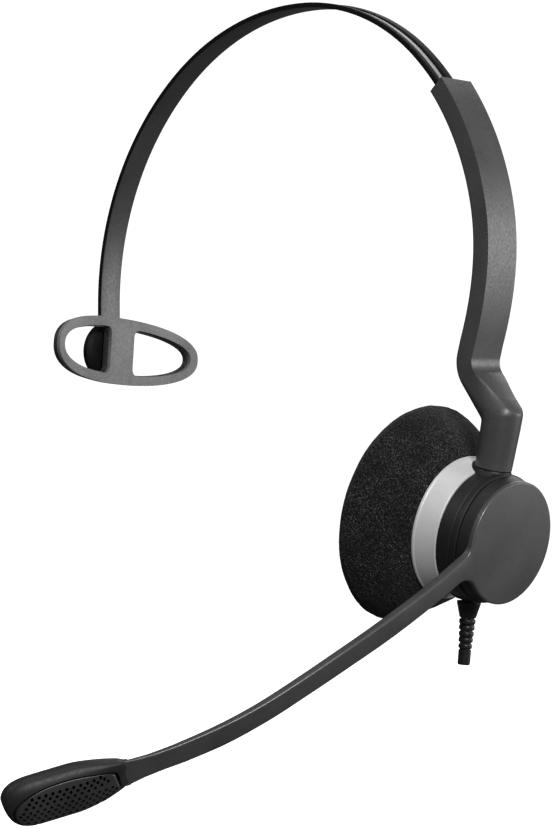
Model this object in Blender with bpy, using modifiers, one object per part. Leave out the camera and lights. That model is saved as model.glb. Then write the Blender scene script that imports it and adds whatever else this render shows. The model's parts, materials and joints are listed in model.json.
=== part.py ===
"""Mono office headset with a boom microphone, as separate parts in their worn position.

The origin is the underside of the headband at its crown. +Z is up, the wearer faces -Y, and the
ear cup is on the +X side. The headband, the arm and the temple pad hang in the plane y = 0.
"""

from math import asin, atan2, cos, exp, pi, radians, sin

import bmesh
import bpy
from mathutils import Matrix, Vector

MM = 0.001
GAP = 0.3 * MM                          # clearance between pieces that touch

# Headband spring: a flat band bent from arcs that meet tangentially. Radii are its outer surface.
BAND_WIDTH = 7.8 * MM
BAND_THICK = 1.4 * MM
BAND_CORNER = 0.45 * MM
CROWN_RADIUS_CUP = 57.5 * MM            # crown arc, on the ear cup's side
CROWN_TURN_CUP = radians(43.5)
SLIDE_RADIUS = 73.5 * MM                # arc that the arm slides along
SLIDE_TURN = radians(57.5)
CROWN_RADIUS_PAD = 72.0 * MM            # crown arc, on the temple pad's side
CROWN_TURN_PAD = radians(40.0)
SIDE_RADIUS_PAD = 82.0 * MM
SIDE_TURN_PAD = radians(50.0)
BAND_TAIL = 16.5 * MM                   # straight end inside the temple hub

# Arm: a flat sleeve over the band that ends in a round neck tube above the ear cup.
ARM_WIDTH = 12.0 * MM
ARM_OUTER_RADIUS = 76.2 * MM
ARM_INNER_RADIUS = 70.8 * MM
ARM_MOUTH = radians(52.5)               # angle from straight up, about the slide centre
ARM_BEND_START = radians(108.0)
ARM_JOG_RADIUS = 7.0 * MM
ARM_ELBOW_RADIUS = 6.2 * MM
ARM_JOG_CORNER = Vector((57.0, 0.0, -96.7)) * MM
ARM_ELBOW_CORNER = Vector((65.0, 0.0, -109.1)) * MM
SLOT_WIDTH = BAND_WIDTH + 2 * GAP
SLOT_END = radians(104.0)
COVER_WIDTH = 8.6 * MM
COVER_START = radians(56.0)
COVER_END = radians(109.0)
SCREW_ANGLE = radians(106.6)
TUBE_TOP_RADIUS = 5.2 * MM
TUBE_END_RADIUS = 4.85 * MM

# Ear cup frame: local Z is the cup's axis, outward. Local Y runs up the neck, local X to the back.
CUP_TILT = radians(12.5)
CUP_ORIGIN = Vector((67.9, 0.0, -142.1)) * MM    # centre of the boom disc's outer face
NECK_DEPTH = 10.0 * MM                  # neck axis, inboard of the disc's face
NECK_SEAM = 17.4 * MM                   # top of the collar, up the neck from the cup's axis
STEM_RADIUS = 2.3 * MM

DISC_RADIUS = 16.3 * MM
DISC_THICK = 4.6 * MM
HOUSING_RADIUS = 17.1 * MM
HOUSING_END = 11.1 * MM                 # where the bright ring starts, inboard of the disc's face
BARREL_RADIUS = 15.5 * MM
BARREL_END = 18.0 * MM
RING_FLARE_RADIUS = 19.0 * MM
CUSHION_RADIUS = 29.3 * MM
POST_DISTANCE = 11.6 * MM
VENT_PLACE = Vector((11.3, 0.0, -23.3)) * MM     # one of the speaker frame's vents

# Boom: a flat bar that leaves the disc forward and down, then bows in towards the mouth.
BOOM_DROP = radians(33.4)
BOOM_OFFSET = 4.15 * MM
BOOM_THICK = 2.7 * MM
BOOM_HEIGHT = 4.3 * MM
BOOM_INWARD_START = 18.0 * MM
BOOM_INWARD_RADIUS = 213.0 * MM
BOOM_LIFT_START = 85.0 * MM
BOOM_LIFT_RADIUS = 325.0 * MM
BOOM_DIP = 0.7 * MM                     # a shallow dip along the bar's outer half
BOOM_DIP_AT = 86.0 * MM
BOOM_DIP_SPREAD = 16.0 * MM
BOOM_ROOT = 14.8 * MM
BOOM_END = 119.7 * MM
LEAD_RADIUS = 0.45 * MM
LEAD_BORE = 0.75 * MM
NOTCH_TURN = atan2(-2.15, -4.6)         # where the lead leaves the disc's hollow boss
POD_LENGTH = 31.0 * MM
POD_AIM = 133.5 * MM                    # the pod points the way the bar would at this length
POD_HEIGHT = 12.6 * MM
POD_THICK = 7.6 * MM

# Temple pad: a curved oval loop with a middle web, on a ball stud at the band's other end.
PAD_LENGTH = 58.4 * MM
PAD_HEIGHT = 18.6 * MM
PAD_TURN = radians(5.0)                 # its rear end hangs lower
PAD_CURVE = 150.0 * MM
PAD_FACE_X = -69.8 * MM
PAD_Z = -91.5 * MM
PAD_WEB = 9.6 * MM
PAD_RIM = 3.1 * MM
PAD_TAPER = 0.05                        # its rear end is this much lower than its middle
BALL_X = -72.3 * MM                     # centre of the ball stud under the pad

COLOURS = {
    "dark_plastic": ((0.045, 0.045, 0.048), 0.55, 0.0),
    "grey_plastic": ((0.075, 0.075, 0.078), 0.5, 0.0),
    "black_plastic": ((0.018, 0.018, 0.019), 0.45, 0.0),
    "satin_silver": ((0.56, 0.56, 0.57), 0.35, 0.9),
    "black_foam": ((0.01, 0.01, 0.01), 0.95, 0.0),
    "grey_rubber": ((0.14, 0.14, 0.142), 0.7, 0.0),
    "steel": ((0.5, 0.5, 0.5), 0.3, 1.0),
    "board_green": ((0.02, 0.12, 0.05), 0.5, 0.0),
    "copper": ((0.7, 0.35, 0.2), 0.4, 1.0),
    "film": ((0.6, 0.58, 0.5), 0.4, 0.0),
}


# ---------------------------------------------------------------- helpers

def clear_scene():
    for obj in list(bpy.data.objects):
        bpy.data.objects.remove(obj)


def new_collection(name):
    collection = bpy.data.collections.new(name)
    bpy.context.scene.collection.children.link(collection)
    return collection


def material(name):
    found = bpy.data.materials.get(name)
    if found:
        return found
    colour, roughness, metallic = COLOURS[name]
    made = bpy.data.materials.new(name)
    made.use_nodes = True
    shader = made.node_tree.nodes["Principled BSDF"]
    shader.inputs["Base Color"].default_value = (*colour, 1.0)
    shader.inputs["Roughness"].default_value = roughness
    shader.inputs["Metallic"].default_value = metallic
    return made


def pivot(name, point):
    empty = bpy.data.objects.new(name, None)
    empty.location = point
    PARTS.objects.link(empty)
    return empty


def add_object(name, mesh, collection, frame=None):
    obj = bpy.data.objects.new(name, mesh)
    collection.objects.link(obj)
    if frame:
        obj.matrix_world = frame
    return obj


def finish_part(obj, surface, parent=None):
    """Gives a part its material and hangs it from its joint's empty, where it already is."""
    obj.data.materials.append(material(surface))
    if parent:
        obj.parent = parent
        obj.matrix_parent_inverse = Matrix.Translation(-parent.location)
    return obj


def shade(mesh):
    mesh.shade_smooth()
    mesh.set_sharp_from_angle(angle=radians(32))


def turned(name, profile, collection, frame=None, steps=48):
    """A solid turned about local Z. The outline of (radius, z) points runs down the outer side."""
    mesh = bpy.data.meshes.new(name)
    closed = profile[0][0] > 0
    count = len(profile)
    edges = [(i, (i + 1) % count) for i in range(count if closed else count - 1)]
    mesh.from_pydata([(r, 0.0, z) for r, z in profile], edges, [])
    obj = add_object(name, mesh, collection, frame)
    screw = obj.modifiers.new("turn", "SCREW")
    screw.axis = "Z"
    screw.steps = steps
    screw.render_steps = steps
    screw.use_merge_vertices = True
    screw.merge_threshold = 0.00001
    screw.use_smooth_shade = True
    return obj


def in_metres(outline):
    return [(radius * MM, z * MM) for radius, z in outline]


def rounded_ring(half_a, half_b, corner, per_corner=3):
    """Points of a rounded rectangle, as (a, b) pairs, anticlockwise."""
    corner = min(corner, half_a, half_b)
    points = []
    for quarter, (side_a, side_b) in enumerate(((1, 1), (-1, 1), (-1, -1), (1, -1))):
        for step in range(per_corner):
            angle = (quarter + step / (per_corner - 1)) * pi / 2
            points.append((side_a * (half_a - corner) + corner * cos(angle),
                           side_b * (half_b - corner) + corner * sin(angle)))
    return points


def loft(name, stations, collection, per_corner=3):
    """A solid through sections (centre, axis a, axis b, half a, half b, corner radius)."""
    rings = [[centre + axis_a * a + axis_b * b
              for a, b in rounded_ring(half_a, half_b, corner, per_corner)]
             for centre, axis_a, axis_b, half_a, half_b, corner in stations]
    size = len(rings[0])
    faces = []
    for row in range(len(rings) - 1):
        for i in range(size):
            j = (i + 1) % size
            faces.append((row * size + i, row * size + j,
                          (row + 1) * size + j, (row + 1) * size + i))
    last = (len(rings) - 1) * size
    faces.append(tuple(reversed(range(size))))
    faces.append(tuple(last + i for i in range(size)))
    mesh = bpy.data.meshes.new(name)
    mesh.from_pydata([point for ring in rings for point in ring], [], faces)
    work = bmesh.new()
    work.from_mesh(mesh)
    bmesh.ops.recalc_face_normals(work, faces=work.faces)
    work.to_mesh(mesh)
    work.free()
    shade(mesh)
    return add_object(name, mesh, collection)


def cylinder(name, radius, start, end, collection, sides=24, end_radius=None):
    """A cylinder or a cone between two world points."""
    mesh = bpy.data.meshes.new(name)
    work = bmesh.new()
    bmesh.ops.create_cone(work, cap_ends=True, segments=sides, radius1=radius,
                          radius2=radius if end_radius is None else end_radius,
                          depth=(end - start).length)
    work.to_mesh(mesh)
    work.free()
    shade(mesh)
    return add_object(name, mesh, collection, frame_along((start + end) / 2, end - start))


def block(name, size, collection, frame):
    mesh = bpy.data.meshes.new(name)
    work = bmesh.new()
    bmesh.ops.create_cube(work, size=1.0)
    bmesh.ops.scale(work, vec=size, verts=work.verts)
    work.to_mesh(mesh)
    work.free()
    return add_object(name, mesh, collection, frame)


def frame_along(origin, direction):
    """A frame at the origin whose local Z points along the direction."""
    return Matrix.Translation(origin) @ direction.to_track_quat("Z", "Y").to_matrix().to_4x4()


def merged(name, objects, collection):
    """One cutter from several separate closed shapes."""
    work = bmesh.new()
    for obj in objects:
        piece = obj.data.copy()
        piece.transform(obj.matrix_world)
        work.from_mesh(piece)
        bpy.data.meshes.remove(piece)
        bpy.data.objects.remove(obj)
    mesh = bpy.data.meshes.new(name)
    work.to_mesh(mesh)
    work.free()
    return add_object(name, mesh, collection)


def boolean(obj, tool, operation):
    tool.hide_render = True
    tool.display_type = "WIRE"
    modifier = obj.modifiers.new(tool.name, "BOOLEAN")
    modifier.operation = operation
    modifier.object = tool
    modifier.solver = "EXACT"


def cut(obj, tool):
    boolean(obj, tool, "DIFFERENCE")


def join(obj, tool):
    boolean(obj, tool, "UNION")


def keep(obj, tool):
    boolean(obj, tool, "INTERSECT")


# ---------------------------------------------------------------- headband

def slide_centre():
    """The centre of the arc that the arm slides along, tangent to the crown arc."""
    turn = Vector((sin(CROWN_TURN_CUP), 0.0, cos(CROWN_TURN_CUP)))
    crown = Vector((0.0, 0.0, BAND_THICK - CROWN_RADIUS_CUP))
    return crown - turn * (SLIDE_RADIUS - CROWN_RADIUS_CUP)


def about_slide(radius, angle):
    """A point on a circle about the slide centre, with the angle measured from straight up."""
    return slide_centre() + Vector((sin(angle), 0.0, cos(angle))) * radius


def arc_station(centre, radius, angle, side, half_thick, half_width, corner):
    outward = Vector((side * sin(angle), 0.0, cos(angle)))
    return (centre + outward * radius, outward, Vector((0.0, 1.0, 0.0)), half_thick, half_width, corner)


def spread(start, end, steps):
    return [start + (end - start) * i / steps for i in range(steps + 1)]


def pad_side_arcs():
    """Centres of the two arcs on the temple pad's side."""
    crown = Vector((0.0, 0.0, BAND_THICK - CROWN_RADIUS_PAD))
    turn = Vector((-sin(CROWN_TURN_PAD), 0.0, cos(CROWN_TURN_PAD)))
    return crown, crown - turn * (SIDE_RADIUS_PAD - CROWN_RADIUS_PAD)


def band_stations():
    half = BAND_THICK / 2
    section = (half, BAND_WIDTH / 2, BAND_CORNER)
    crown, side = pad_side_arcs()
    end_angle = CROWN_TURN_PAD + SIDE_TURN_PAD
    stations = []
    tail = arc_station(side, SIDE_RADIUS_PAD - half, end_angle, -1, *section)
    stations.append((tail[0] - Vector((0, 0, BAND_TAIL)), *tail[1:]))
    for angle in reversed(spread(CROWN_TURN_PAD, end_angle, 12)):
        stations.append(arc_station(side, SIDE_RADIUS_PAD - half, angle, -1, *section))
    for angle in reversed(spread(0.0, CROWN_TURN_PAD, 10)[:-1]):
        stations.append(arc_station(crown, CROWN_RADIUS_PAD - half, angle, -1, *section))
    crown = Vector((0.0, 0.0, BAND_THICK - CROWN_RADIUS_CUP))
    for angle in spread(0.0, CROWN_TURN_CUP, 11)[1:]:
        stations.append(arc_station(crown, CROWN_RADIUS_CUP - half, angle, 1, *section))
    for angle in spread(CROWN_TURN_CUP, CROWN_TURN_CUP + SLIDE_TURN, 14)[1:]:
        stations.append(arc_station(slide_centre(), SLIDE_RADIUS - half, angle, 1, *section))
    return stations


def slide_bar(name, inner, outer, width, start, end, collection, steps=12):
    """A curved bar of rectangular section about the slide centre."""
    middle = (inner + outer) / 2
    stations = [arc_station(slide_centre(), middle, angle, 1, (outer - inner) / 2, width / 2, 0.0002)
                for angle in spread(start, end, steps)]
    return loft(name, stations, collection, per_corner=2)


def make_headband():
    band = loft("headband_spring", band_stations(), PARTS, per_corner=2)
    hole = cylinder("stud_hole", 1.8 * MM, Vector((BALL_X - 8 * MM, 0, PAD_Z)),
                    Vector((BALL_X + 8 * MM, 0, PAD_Z)), CUTTERS, 20)
    cut(band, hole)
    finish_part(band, "grey_plastic")
    end = CROWN_TURN_CUP + SLIDE_TURN
    stop = slide_bar("band_end_stop", SLIDE_RADIUS + GAP, SLIDE_RADIUS + 1.0 * MM, 3.0 * MM,
                     end - radians(2.6), end - radians(0.4), PARTS, 2)
    finish_part(stop, "steel")


def hub_frame():
    """Temple hub frame: local Z points outboard, -X in the world, from the seam plane."""
    seam_x = -75.3 * MM
    return Matrix(((0, 0, -1, seam_x), (1, 0, 0, 0), (0, -1, 0, PAD_Z), (0, 0, 0, 1)))


def make_temple_hub():
    frame = hub_frame()
    outer = [(0, 5.0), (3.0, 4.75), (5.6, 3.9), (7.6, 2.4), (8.8, 0.15), (7.7, 0.15), (6.6, 1.7),
             (4.8, 3.0), (2.6, 3.8), (0, 4.0)]
    shell = turned("hub_outer_shell", in_metres(outer), PARTS, frame, 28)
    inner = [(8.8, -0.15), (7.9, -1.1), (6.2, -1.75), (4.2, -2.05), (2.1, -2.15), (2.1, -1.45),
             (4.9, -1.4), (6.2, -1.0), (7.6, -0.15)]
    inner_shell = turned("hub_inner_shell", in_metres(inner), PARTS, frame, 28)
    mouth = block("hub_mouth", (2.6 * MM, BAND_WIDTH + 2 * GAP, 12 * MM), CUTTERS,
                  Matrix.Translation((-74.9 * MM, 0, PAD_Z + 7.6 * MM)))
    for piece in (shell, inner_shell):
        cut(piece, mouth)
        finish_part(piece, "black_plastic")
    stud = [(0, 2.0), (3.0, 2.0), (3.4, 1.6), (3.4, 0.7), (1.4, 0.7), (1.4, -1.6), (0.9, -1.75),
            (0.9, -2.0), (1.3, -2.25), (1.5, -2.75), (1.5, -3.1), (1.1, -3.9), (0, -4.3)]
    ball = turned("hub_ball_stud", in_metres(stud), PARTS, frame, 16)
    finish_part(ball, "steel")


def oval(half_long, half_high, power, count, taper=0.0):
    """A superellipse, as (u, v) points. With a taper it gets lower towards +u."""
    points = []
    for i in range(count):
        angle = 2 * pi * i / count
        c, s = cos(angle), sin(angle)
        u = abs(c) ** (2 / power) * (1 if c >= 0 else -1)
        v = abs(s) ** (2 / power) * (1 if s >= 0 else -1)
        points.append((half_long * u, half_high * v * (1 - taper * u)))
    return points


def prism(name, outline, low, high, collection, frame=None):
    """A flat outline extruded along local Z."""
    mesh = bpy.data.meshes.new(name)
    work = bmesh.new()
    base = [work.verts.new((u, v, low)) for u, v in outline]
    face = work.faces.new(base)
    lifted = bmesh.ops.extrude_face_region(work, geom=[face])
    rise = [v for v in lifted["geom"] if isinstance(v, bmesh.types.BMVert)]
    bmesh.ops.translate(work, vec=(0, 0, high - low), verts=rise)
    bmesh.ops.recalc_face_normals(work, faces=work.faces)
    work.to_mesh(mesh)
    work.free()
    return add_object(name, mesh, collection, frame)


def pad_frame():
    """Temple pad frame: local X runs to the back, local Y up, local Z towards the head."""
    base = Matrix(((0, 0, 1, 0), (1, 0, 0, 0), (0, 1, 0, PAD_Z), (0, 0, 0, 1)))
    return base @ Matrix.Rotation(-PAD_TURN, 4, "Z")


def pad_window(side):
    """Outline of the pad's front (-1) or rear (+1) window: a half oval with rounded corners."""
    inner = oval(PAD_LENGTH / 2 - PAD_RIM, PAD_HEIGHT / 2 - PAD_RIM, 2.3, 32)
    web = PAD_WEB / 2
    rounding = 2.4 * MM
    points = [(abs(u), v) for u, v in inner if u > web + rounding]
    points.sort(key=lambda p: atan2(p[1], p[0]))
    top = points[-1][1]
    for step in range(5):
        angle = pi / 2 + step * pi / 8
        points.append((web + rounding + rounding * cos(angle),
                       top - rounding + rounding * sin(angle)))
    for step in range(5):
        angle = pi + step * pi / 8
        points.append((web + rounding + rounding * cos(angle),
                       rounding - top + rounding * sin(angle)))
    half = PAD_LENGTH / 2
    return [(side * u, v * (1 - PAD_TAPER * side * u / half)) for u, v in points]


def curved_slab(name, face_x, thick):
    """A slab that wraps about the head: its face's middle is at face_x, and its ends lean in."""
    mesh = bpy.data.meshes.new(name)
    work = bmesh.new()
    bmesh.ops.create_grid(work, x_segments=20, y_segments=2, size=1.0)
    for vert in work.verts:
        u = vert.co.x * 0.6 * PAD_LENGTH
        v = vert.co.y * 0.8 * PAD_HEIGHT
        vert.co = (u, v, face_x + PAD_CURVE - (PAD_CURVE ** 2 - u ** 2) ** 0.5)
    work.to_mesh(mesh)
    work.free()
    obj = add_object(name, mesh, PARTS, pad_frame())
    solid = obj.modifiers.new("thickness", "SOLIDIFY")
    solid.thickness = thick
    solid.offset = -1
    return obj


def make_temple_pad():
    """The soft face and the stiff frame behind it, both cut from curved slabs by one outline."""
    frame = pad_frame()
    parent = pivot("temple_pad_pivot", Vector((BALL_X, 0, PAD_Z)))
    for name, face_x, thick, inset, surface in (
            ("temple_pad_cushion", PAD_FACE_X, 1.2 * MM, 0.0, "grey_rubber"),
            ("temple_pad_frame", PAD_FACE_X - 1.5 * MM, 1.3 * MM, 0.5 * MM, "dark_plastic")):
        slab = curved_slab(name, face_x, thick)
        outline = oval(PAD_LENGTH / 2 - inset, PAD_HEIGHT / 2 - inset, 2.4, 44, PAD_TAPER)
        keep(slab, prism(name + "_outline", outline, -0.09, -0.05, CUTTERS, frame))
        for side, label in ((-1, "_front_window"), (1, "_rear_window")):
            cut(slab, prism(name + label, pad_window(side), -0.09, -0.05, CUTTERS, frame))
        finish_part(slab, surface, parent)
    middle = Vector((BALL_X - 0.6 * MM, 0, PAD_Z))
    across = Vector((2.0 * MM, 0, 0))
    socket = cylinder("ball_socket", 1.85 * MM, middle - across, middle + across, CUTTERS, 24)
    cut(bpy.data.objects["temple_pad_frame"], socket)


# ---------------------------------------------------------------- arm

def bend(corner, before, after, radius, steps):
    """Points and directions along a round bend that replaces a corner between two directions."""
    cross = before.cross(after).y
    turn = asin(min(1.0, abs(cross)))
    reach = radius * sin(turn / 2) / cos(turn / 2)
    side = Vector((0, 1, 0)).cross(before) * (1 if cross > 0 else -1)
    start = corner - before * reach
    centre = start + side * radius
    path = []
    for i in range(steps + 1):
        angle = turn * i / steps
        direction = before * cos(angle) + side * sin(angle)
        point = centre - side * (radius * cos(angle)) + before * (radius * sin(angle))
        path.append((point, direction))
    return path


def neck_axis():
    """A point on the neck tube's axis at the cup's level, and its upward direction."""
    up = Vector((sin(CUP_TILT), 0.0, cos(CUP_TILT)))
    outward = Vector((cos(CUP_TILT), 0.0, -sin(CUP_TILT)))
    return CUP_ORIGIN - outward * NECK_DEPTH, up


def arm_stations():
    middle = (ARM_OUTER_RADIUS + ARM_INNER_RADIUS) / 2
    half_thick = (ARM_OUTER_RADIUS - ARM_INNER_RADIUS) / 2
    half_width = ARM_WIDTH / 2
    stations = [arc_station(slide_centre(), middle, angle, 1, half_thick, half_width, 0.8 * MM)
                for angle in spread(ARM_MOUTH, ARM_BEND_START, 11)]
    foot, up = neck_axis()
    tube_end = foot + up * (NECK_SEAM + GAP)
    start = Vector((cos(ARM_BEND_START), 0, -sin(ARM_BEND_START)))
    slope = (ARM_ELBOW_CORNER - ARM_JOG_CORNER).normalized()
    path = bend(ARM_JOG_CORNER, start, slope, ARM_JOG_RADIUS, 5)
    path += bend(ARM_ELBOW_CORNER, slope, -up, ARM_ELBOW_RADIUS, 6)
    path.append((tube_end + up * 6 * MM, -up))
    path.append((tube_end, -up))
    # The section grows from the flat bar into the round tube between the two bends.
    blend_start = 4
    blend_end = 11
    for index, (point, direction) in enumerate(path):
        blend = min(1.0, max(0.0, (index - blend_start) / (blend_end - blend_start)))
        blend = blend * blend * (3 - 2 * blend)
        radius = TUBE_TOP_RADIUS if index < len(path) - 2 else TUBE_END_RADIUS
        outward = Vector((0, 1, 0)).cross(direction) * -1
        stations.append((point, outward, Vector((0, 1, 0)),
                         half_thick + (radius - half_thick) * blend,
                         half_width + (radius - half_width) * blend,
                         0.8 * MM + (radius - 0.8 * MM) * blend))
    return stations


def make_arm():
    centre = slide_centre()
    parent = pivot("arm_slide_pivot", centre)
    sleeve = loft("arm_sleeve", arm_stations(), PARTS, per_corner=4)
    slot_inner = SLIDE_RADIUS - BAND_THICK - GAP
    slot_outer = SLIDE_RADIUS + GAP
    before_mouth = ARM_MOUTH - radians(4)
    overlap = 0.2 * MM
    pocket_outer = SLIDE_RADIUS + 1.3 * MM
    slack = radians(0.3)
    cut(sleeve, slide_bar("band_slot", slot_inner, slot_outer, SLOT_WIDTH,
                          before_mouth, SLOT_END, CUTTERS, 11))
    cut(sleeve, slide_bar("stop_groove", slot_outer - overlap, pocket_outer, 3.6 * MM,
                          radians(75), SLOT_END - radians(1), CUTTERS, 8))
    cut(sleeve, slide_bar("spring_pocket", slot_outer - overlap, pocket_outer, 5.6 * MM,
                          radians(58), radians(68), CUTTERS, 4))
    cut(sleeve, slide_bar("cover_recess", ARM_INNER_RADIUS - 2 * MM, slot_inner + overlap,
                          COVER_WIDTH + 2 * GAP, COVER_START - slack, COVER_END + slack, CUTTERS, 11))
    foot, up = neck_axis()
    seam = foot + up * NECK_SEAM
    cut(sleeve, cylinder("stem_bore", STEM_RADIUS + GAP, seam - up * 2 * MM, seam + up * 12 * MM,
                         CUTTERS, 24))
    screw_start = about_slide(ARM_INNER_RADIUS - 1 * MM, SCREW_ANGLE)
    cut(sleeve, cylinder("arm_screw_hole", 0.75 * MM, screw_start,
                         about_slide(ARM_INNER_RADIUS + 4.2 * MM, SCREW_ANGLE), CUTTERS, 12))
    finish_part(sleeve, "dark_plastic", parent)

    cover = slide_bar("arm_inner_cover", ARM_INNER_RADIUS, slot_inner - GAP, COVER_WIDTH,
                      COVER_START, COVER_END, PARTS, 11)
    cut(cover, cylinder("cover_screw_hole", 0.9 * MM, screw_start,
                        about_slide(ARM_INNER_RADIUS + 3 * MM, SCREW_ANGLE), CUTTERS, 12))
    finish_part(cover, "black_plastic", parent)

    leaf = slide_bar("slider_spring", SLIDE_RADIUS + 0.55 * MM, SLIDE_RADIUS + 0.85 * MM, 4.6 * MM,
                     radians(58.6), radians(67.4), PARTS, 4)
    finish_part(leaf, "steel", parent)

    seat = about_slide(ARM_INNER_RADIUS - GAP, SCREW_ANGLE)
    outline = [(0, 3.9), (0.45, 3.6), (0.45, 0), (1.3, 0), (1.3, -0.5), (0.9, -0.8), (0, -0.8)]
    screw = turned("arm_cover_screw", in_metres(outline), PARTS, frame_along(seat, seat - centre), 14)
    finish_part(screw, "steel", parent)

    outline = [(1.2, 28.6), (2.0, 28.6), (2.3, 28.3), (2.3, 12.2), (3.2, 12.2), (3.2, 11.2), (1.2, 11.2)]
    stem = turned("swivel_stem", in_metres(outline), PARTS, frame_along(foot, up), 24)
    finish_part(stem, "steel", parent)


# ---------------------------------------------------------------- ear cup

def cup_frame():
    up = Vector((sin(CUP_TILT), 0.0, cos(CUP_TILT)))
    outward = Vector((cos(CUP_TILT), 0.0, -sin(CUP_TILT)))
    back = Vector((0.0, 1.0, 0.0))
    frame = Matrix.Identity(4)
    for column, axis in enumerate((back, up, outward, CUP_ORIGIN)):
        for row in range(3):
            frame[row][column] = axis[row]
    return frame


def in_cup(x, y, z):
    """World place of a point given in millimetres in the cup's frame."""
    return cup_frame() @ (Vector((x, y, z)) * MM)


def cup_turned(name, profile, surface, parent, steps=36):
    obj = turned(name, in_metres(profile), PARTS, cup_frame(), steps)
    return finish_part(obj, surface, parent)


def make_housing(parent):
    """Black housing: outer wall, barrel under the bright ring, neck collar, posts and cord boss."""
    radius = HOUSING_RADIUS / MM
    barrel = BARREL_RADIUS / MM
    end = -HOUSING_END / MM
    housing = cup_turned("cup_housing", [
        (6.3, -4.9), (radius - 0.5, -4.9), (radius, -5.4), (radius, end), (barrel, end),
        (barrel, -BARREL_END / MM), (14.1, -BARREL_END / MM), (14.1, -10.2), (15.5, -8.8),
        (15.5, -6.5), (6.3, -6.5)], "black_plastic", parent)
    depth = -NECK_DEPTH / MM
    collar_top = NECK_SEAM / MM
    join(housing, cylinder("neck_collar", TUBE_END_RADIUS, in_cup(0, 12.6, depth),
                           in_cup(0, collar_top, depth), CUTTERS, 24))
    join(housing, cylinder("cord_boss", 3.9 * MM, in_cup(0, -13.4, -10.3), in_cup(0, -17.2, -10.3),
                           CUTTERS, 18))
    posts = [cylinder("post", 1.7 * MM, in_cup(side * POST_DISTANCE / MM, 0, -6.0),
                      in_cup(side * POST_DISTANCE / MM, 0, -17.7), CUTTERS, 12) for side in (-1, 1)]
    join(housing, merged("screw_posts", posts, CUTTERS))
    holes = [cylinder("hole", 0.65 * MM, in_cup(side * POST_DISTANCE / MM, 0, -10.0),
                      in_cup(side * POST_DISTANCE / MM, 0, -19.0), CUTTERS, 8) for side in (-1, 1)]
    cut(housing, merged("post_holes", holes, CUTTERS))
    cut(housing, cylinder("neck_bore", STEM_RADIUS + GAP, in_cup(0, 9.0, depth), in_cup(0, 20.0, depth),
                          CUTTERS, 20))
    cut(housing, cylinder("cord_bore", 2.9 * MM, in_cup(0, -10.0, -10.3), in_cup(0, -20.0, -10.3),
                          CUTTERS, 18))


def make_bright_ring(parent):
    flare = RING_FLARE_RADIUS / MM
    depth = -NECK_DEPTH / MM
    ring = cup_turned("bright_ring", [
        (17.0, -11.4), (17.25, -11.6), (flare, -17.7), (flare - 0.3, -18.0), (15.8, -18.0),
        (15.8, -11.4)], "satin_silver", parent)
    cut(ring, cylinder("neck_notch", 5.7 * MM, in_cup(0, 12.0, depth), in_cup(0, 24.0, depth),
                       CUTTERS, 32))
    cut(ring, cylinder("cord_notch", 4.4 * MM, in_cup(0, -12.0, -10.3), in_cup(0, -24.0, -10.3),
                       CUTTERS, 24))


def make_speaker(parent):
    baffle = cup_turned("speaker_baffle", [
        (18.0, -18.3), (22.2, -22.9), (22.7, -23.7), (22.3, -24.4), (15.6, -24.4), (15.6, -26.2),
        (14.4, -26.2), (14.4, -21.2), (9.4, -21.2), (9.4, -20.0), (14.4, -20.0), (14.4, -18.3)],
        "black_plastic", parent, steps=30)
    ways = [cylinder("way", 0.85 * MM, in_cup(side * POST_DISTANCE / MM, 0, -17.0),
                     in_cup(side * POST_DISTANCE / MM, 0, -23.0), CUTTERS, 12) for side in (-1, 1)]
    cut(baffle, merged("baffle_screw_ways", ways, CUTTERS))
    for side, label in ((-1, "front"), (1, "rear")):
        frame = cup_frame() @ Matrix.Translation((side * POST_DISTANCE, 0, 0))
        outline = [(0, -12.0), (0.35, -12.4), (0.35, -21.5), (1.4, -21.5), (1.4, -22.2),
                   (1.0, -22.5), (0, -22.5)]
        screw = turned("baffle_screw_" + label, in_metres(outline), PARTS, frame, 14)
        finish_part(screw, "steel", parent)
    cup_turned("speaker_magnet", [(0, -16.2), (7.6, -16.2), (8.0, -16.6), (8.0, -21.3), (0, -21.3)],
               "steel", parent, steps=24)
    frame = cup_turned("speaker_frame", [
        (8.6, -21.6), (9.8, -21.6), (10.0, -23.0), (13.8, -23.0), (14.1, -23.3), (14.1, -25.0),
        (12.9, -25.0), (12.9, -23.9), (8.6, -23.9)], "black_plastic", parent, steps=28)
    vents = [block("vent", (2.4 * MM, 2.0 * MM, 3.0 * MM), CUTTERS,
                   cup_frame() @ Matrix.Rotation(turn, 4, "Z") @ Matrix.Translation(VENT_PLACE))
             for turn in spread(pi / 4, 7 * pi / 4, 3)]
    cut(frame, merged("frame_vents", vents, CUTTERS))
    cup_turned("speaker_diaphragm", [
        (0, -24.6), (7.0, -24.2), (12.5, -24.5), (12.5, -24.8), (7.0, -24.5), (0, -24.9)],
        "film", parent, steps=24)
    grille = cup_turned("speaker_grille", [
        (0, -26.6), (14.9, -26.6), (15.2, -26.9), (14.9, -27.3), (0, -27.3)],
        "dark_plastic", parent, steps=28)
    places = [(0.0, 0.0)]
    for ring in (1, 2):
        places += [(ring * 3.6, 2 * pi * i / (6 * ring) + ring * 0.3) for i in range(6 * ring)]
    holes = [cylinder("hole", 0.9 * MM, in_cup(r * cos(a), r * sin(a), -25.8),
                      in_cup(r * cos(a), r * sin(a), -28.2), CUTTERS, 6) for r, a in places]
    cut(grille, merged("grille_holes", holes, CUTTERS))


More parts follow.
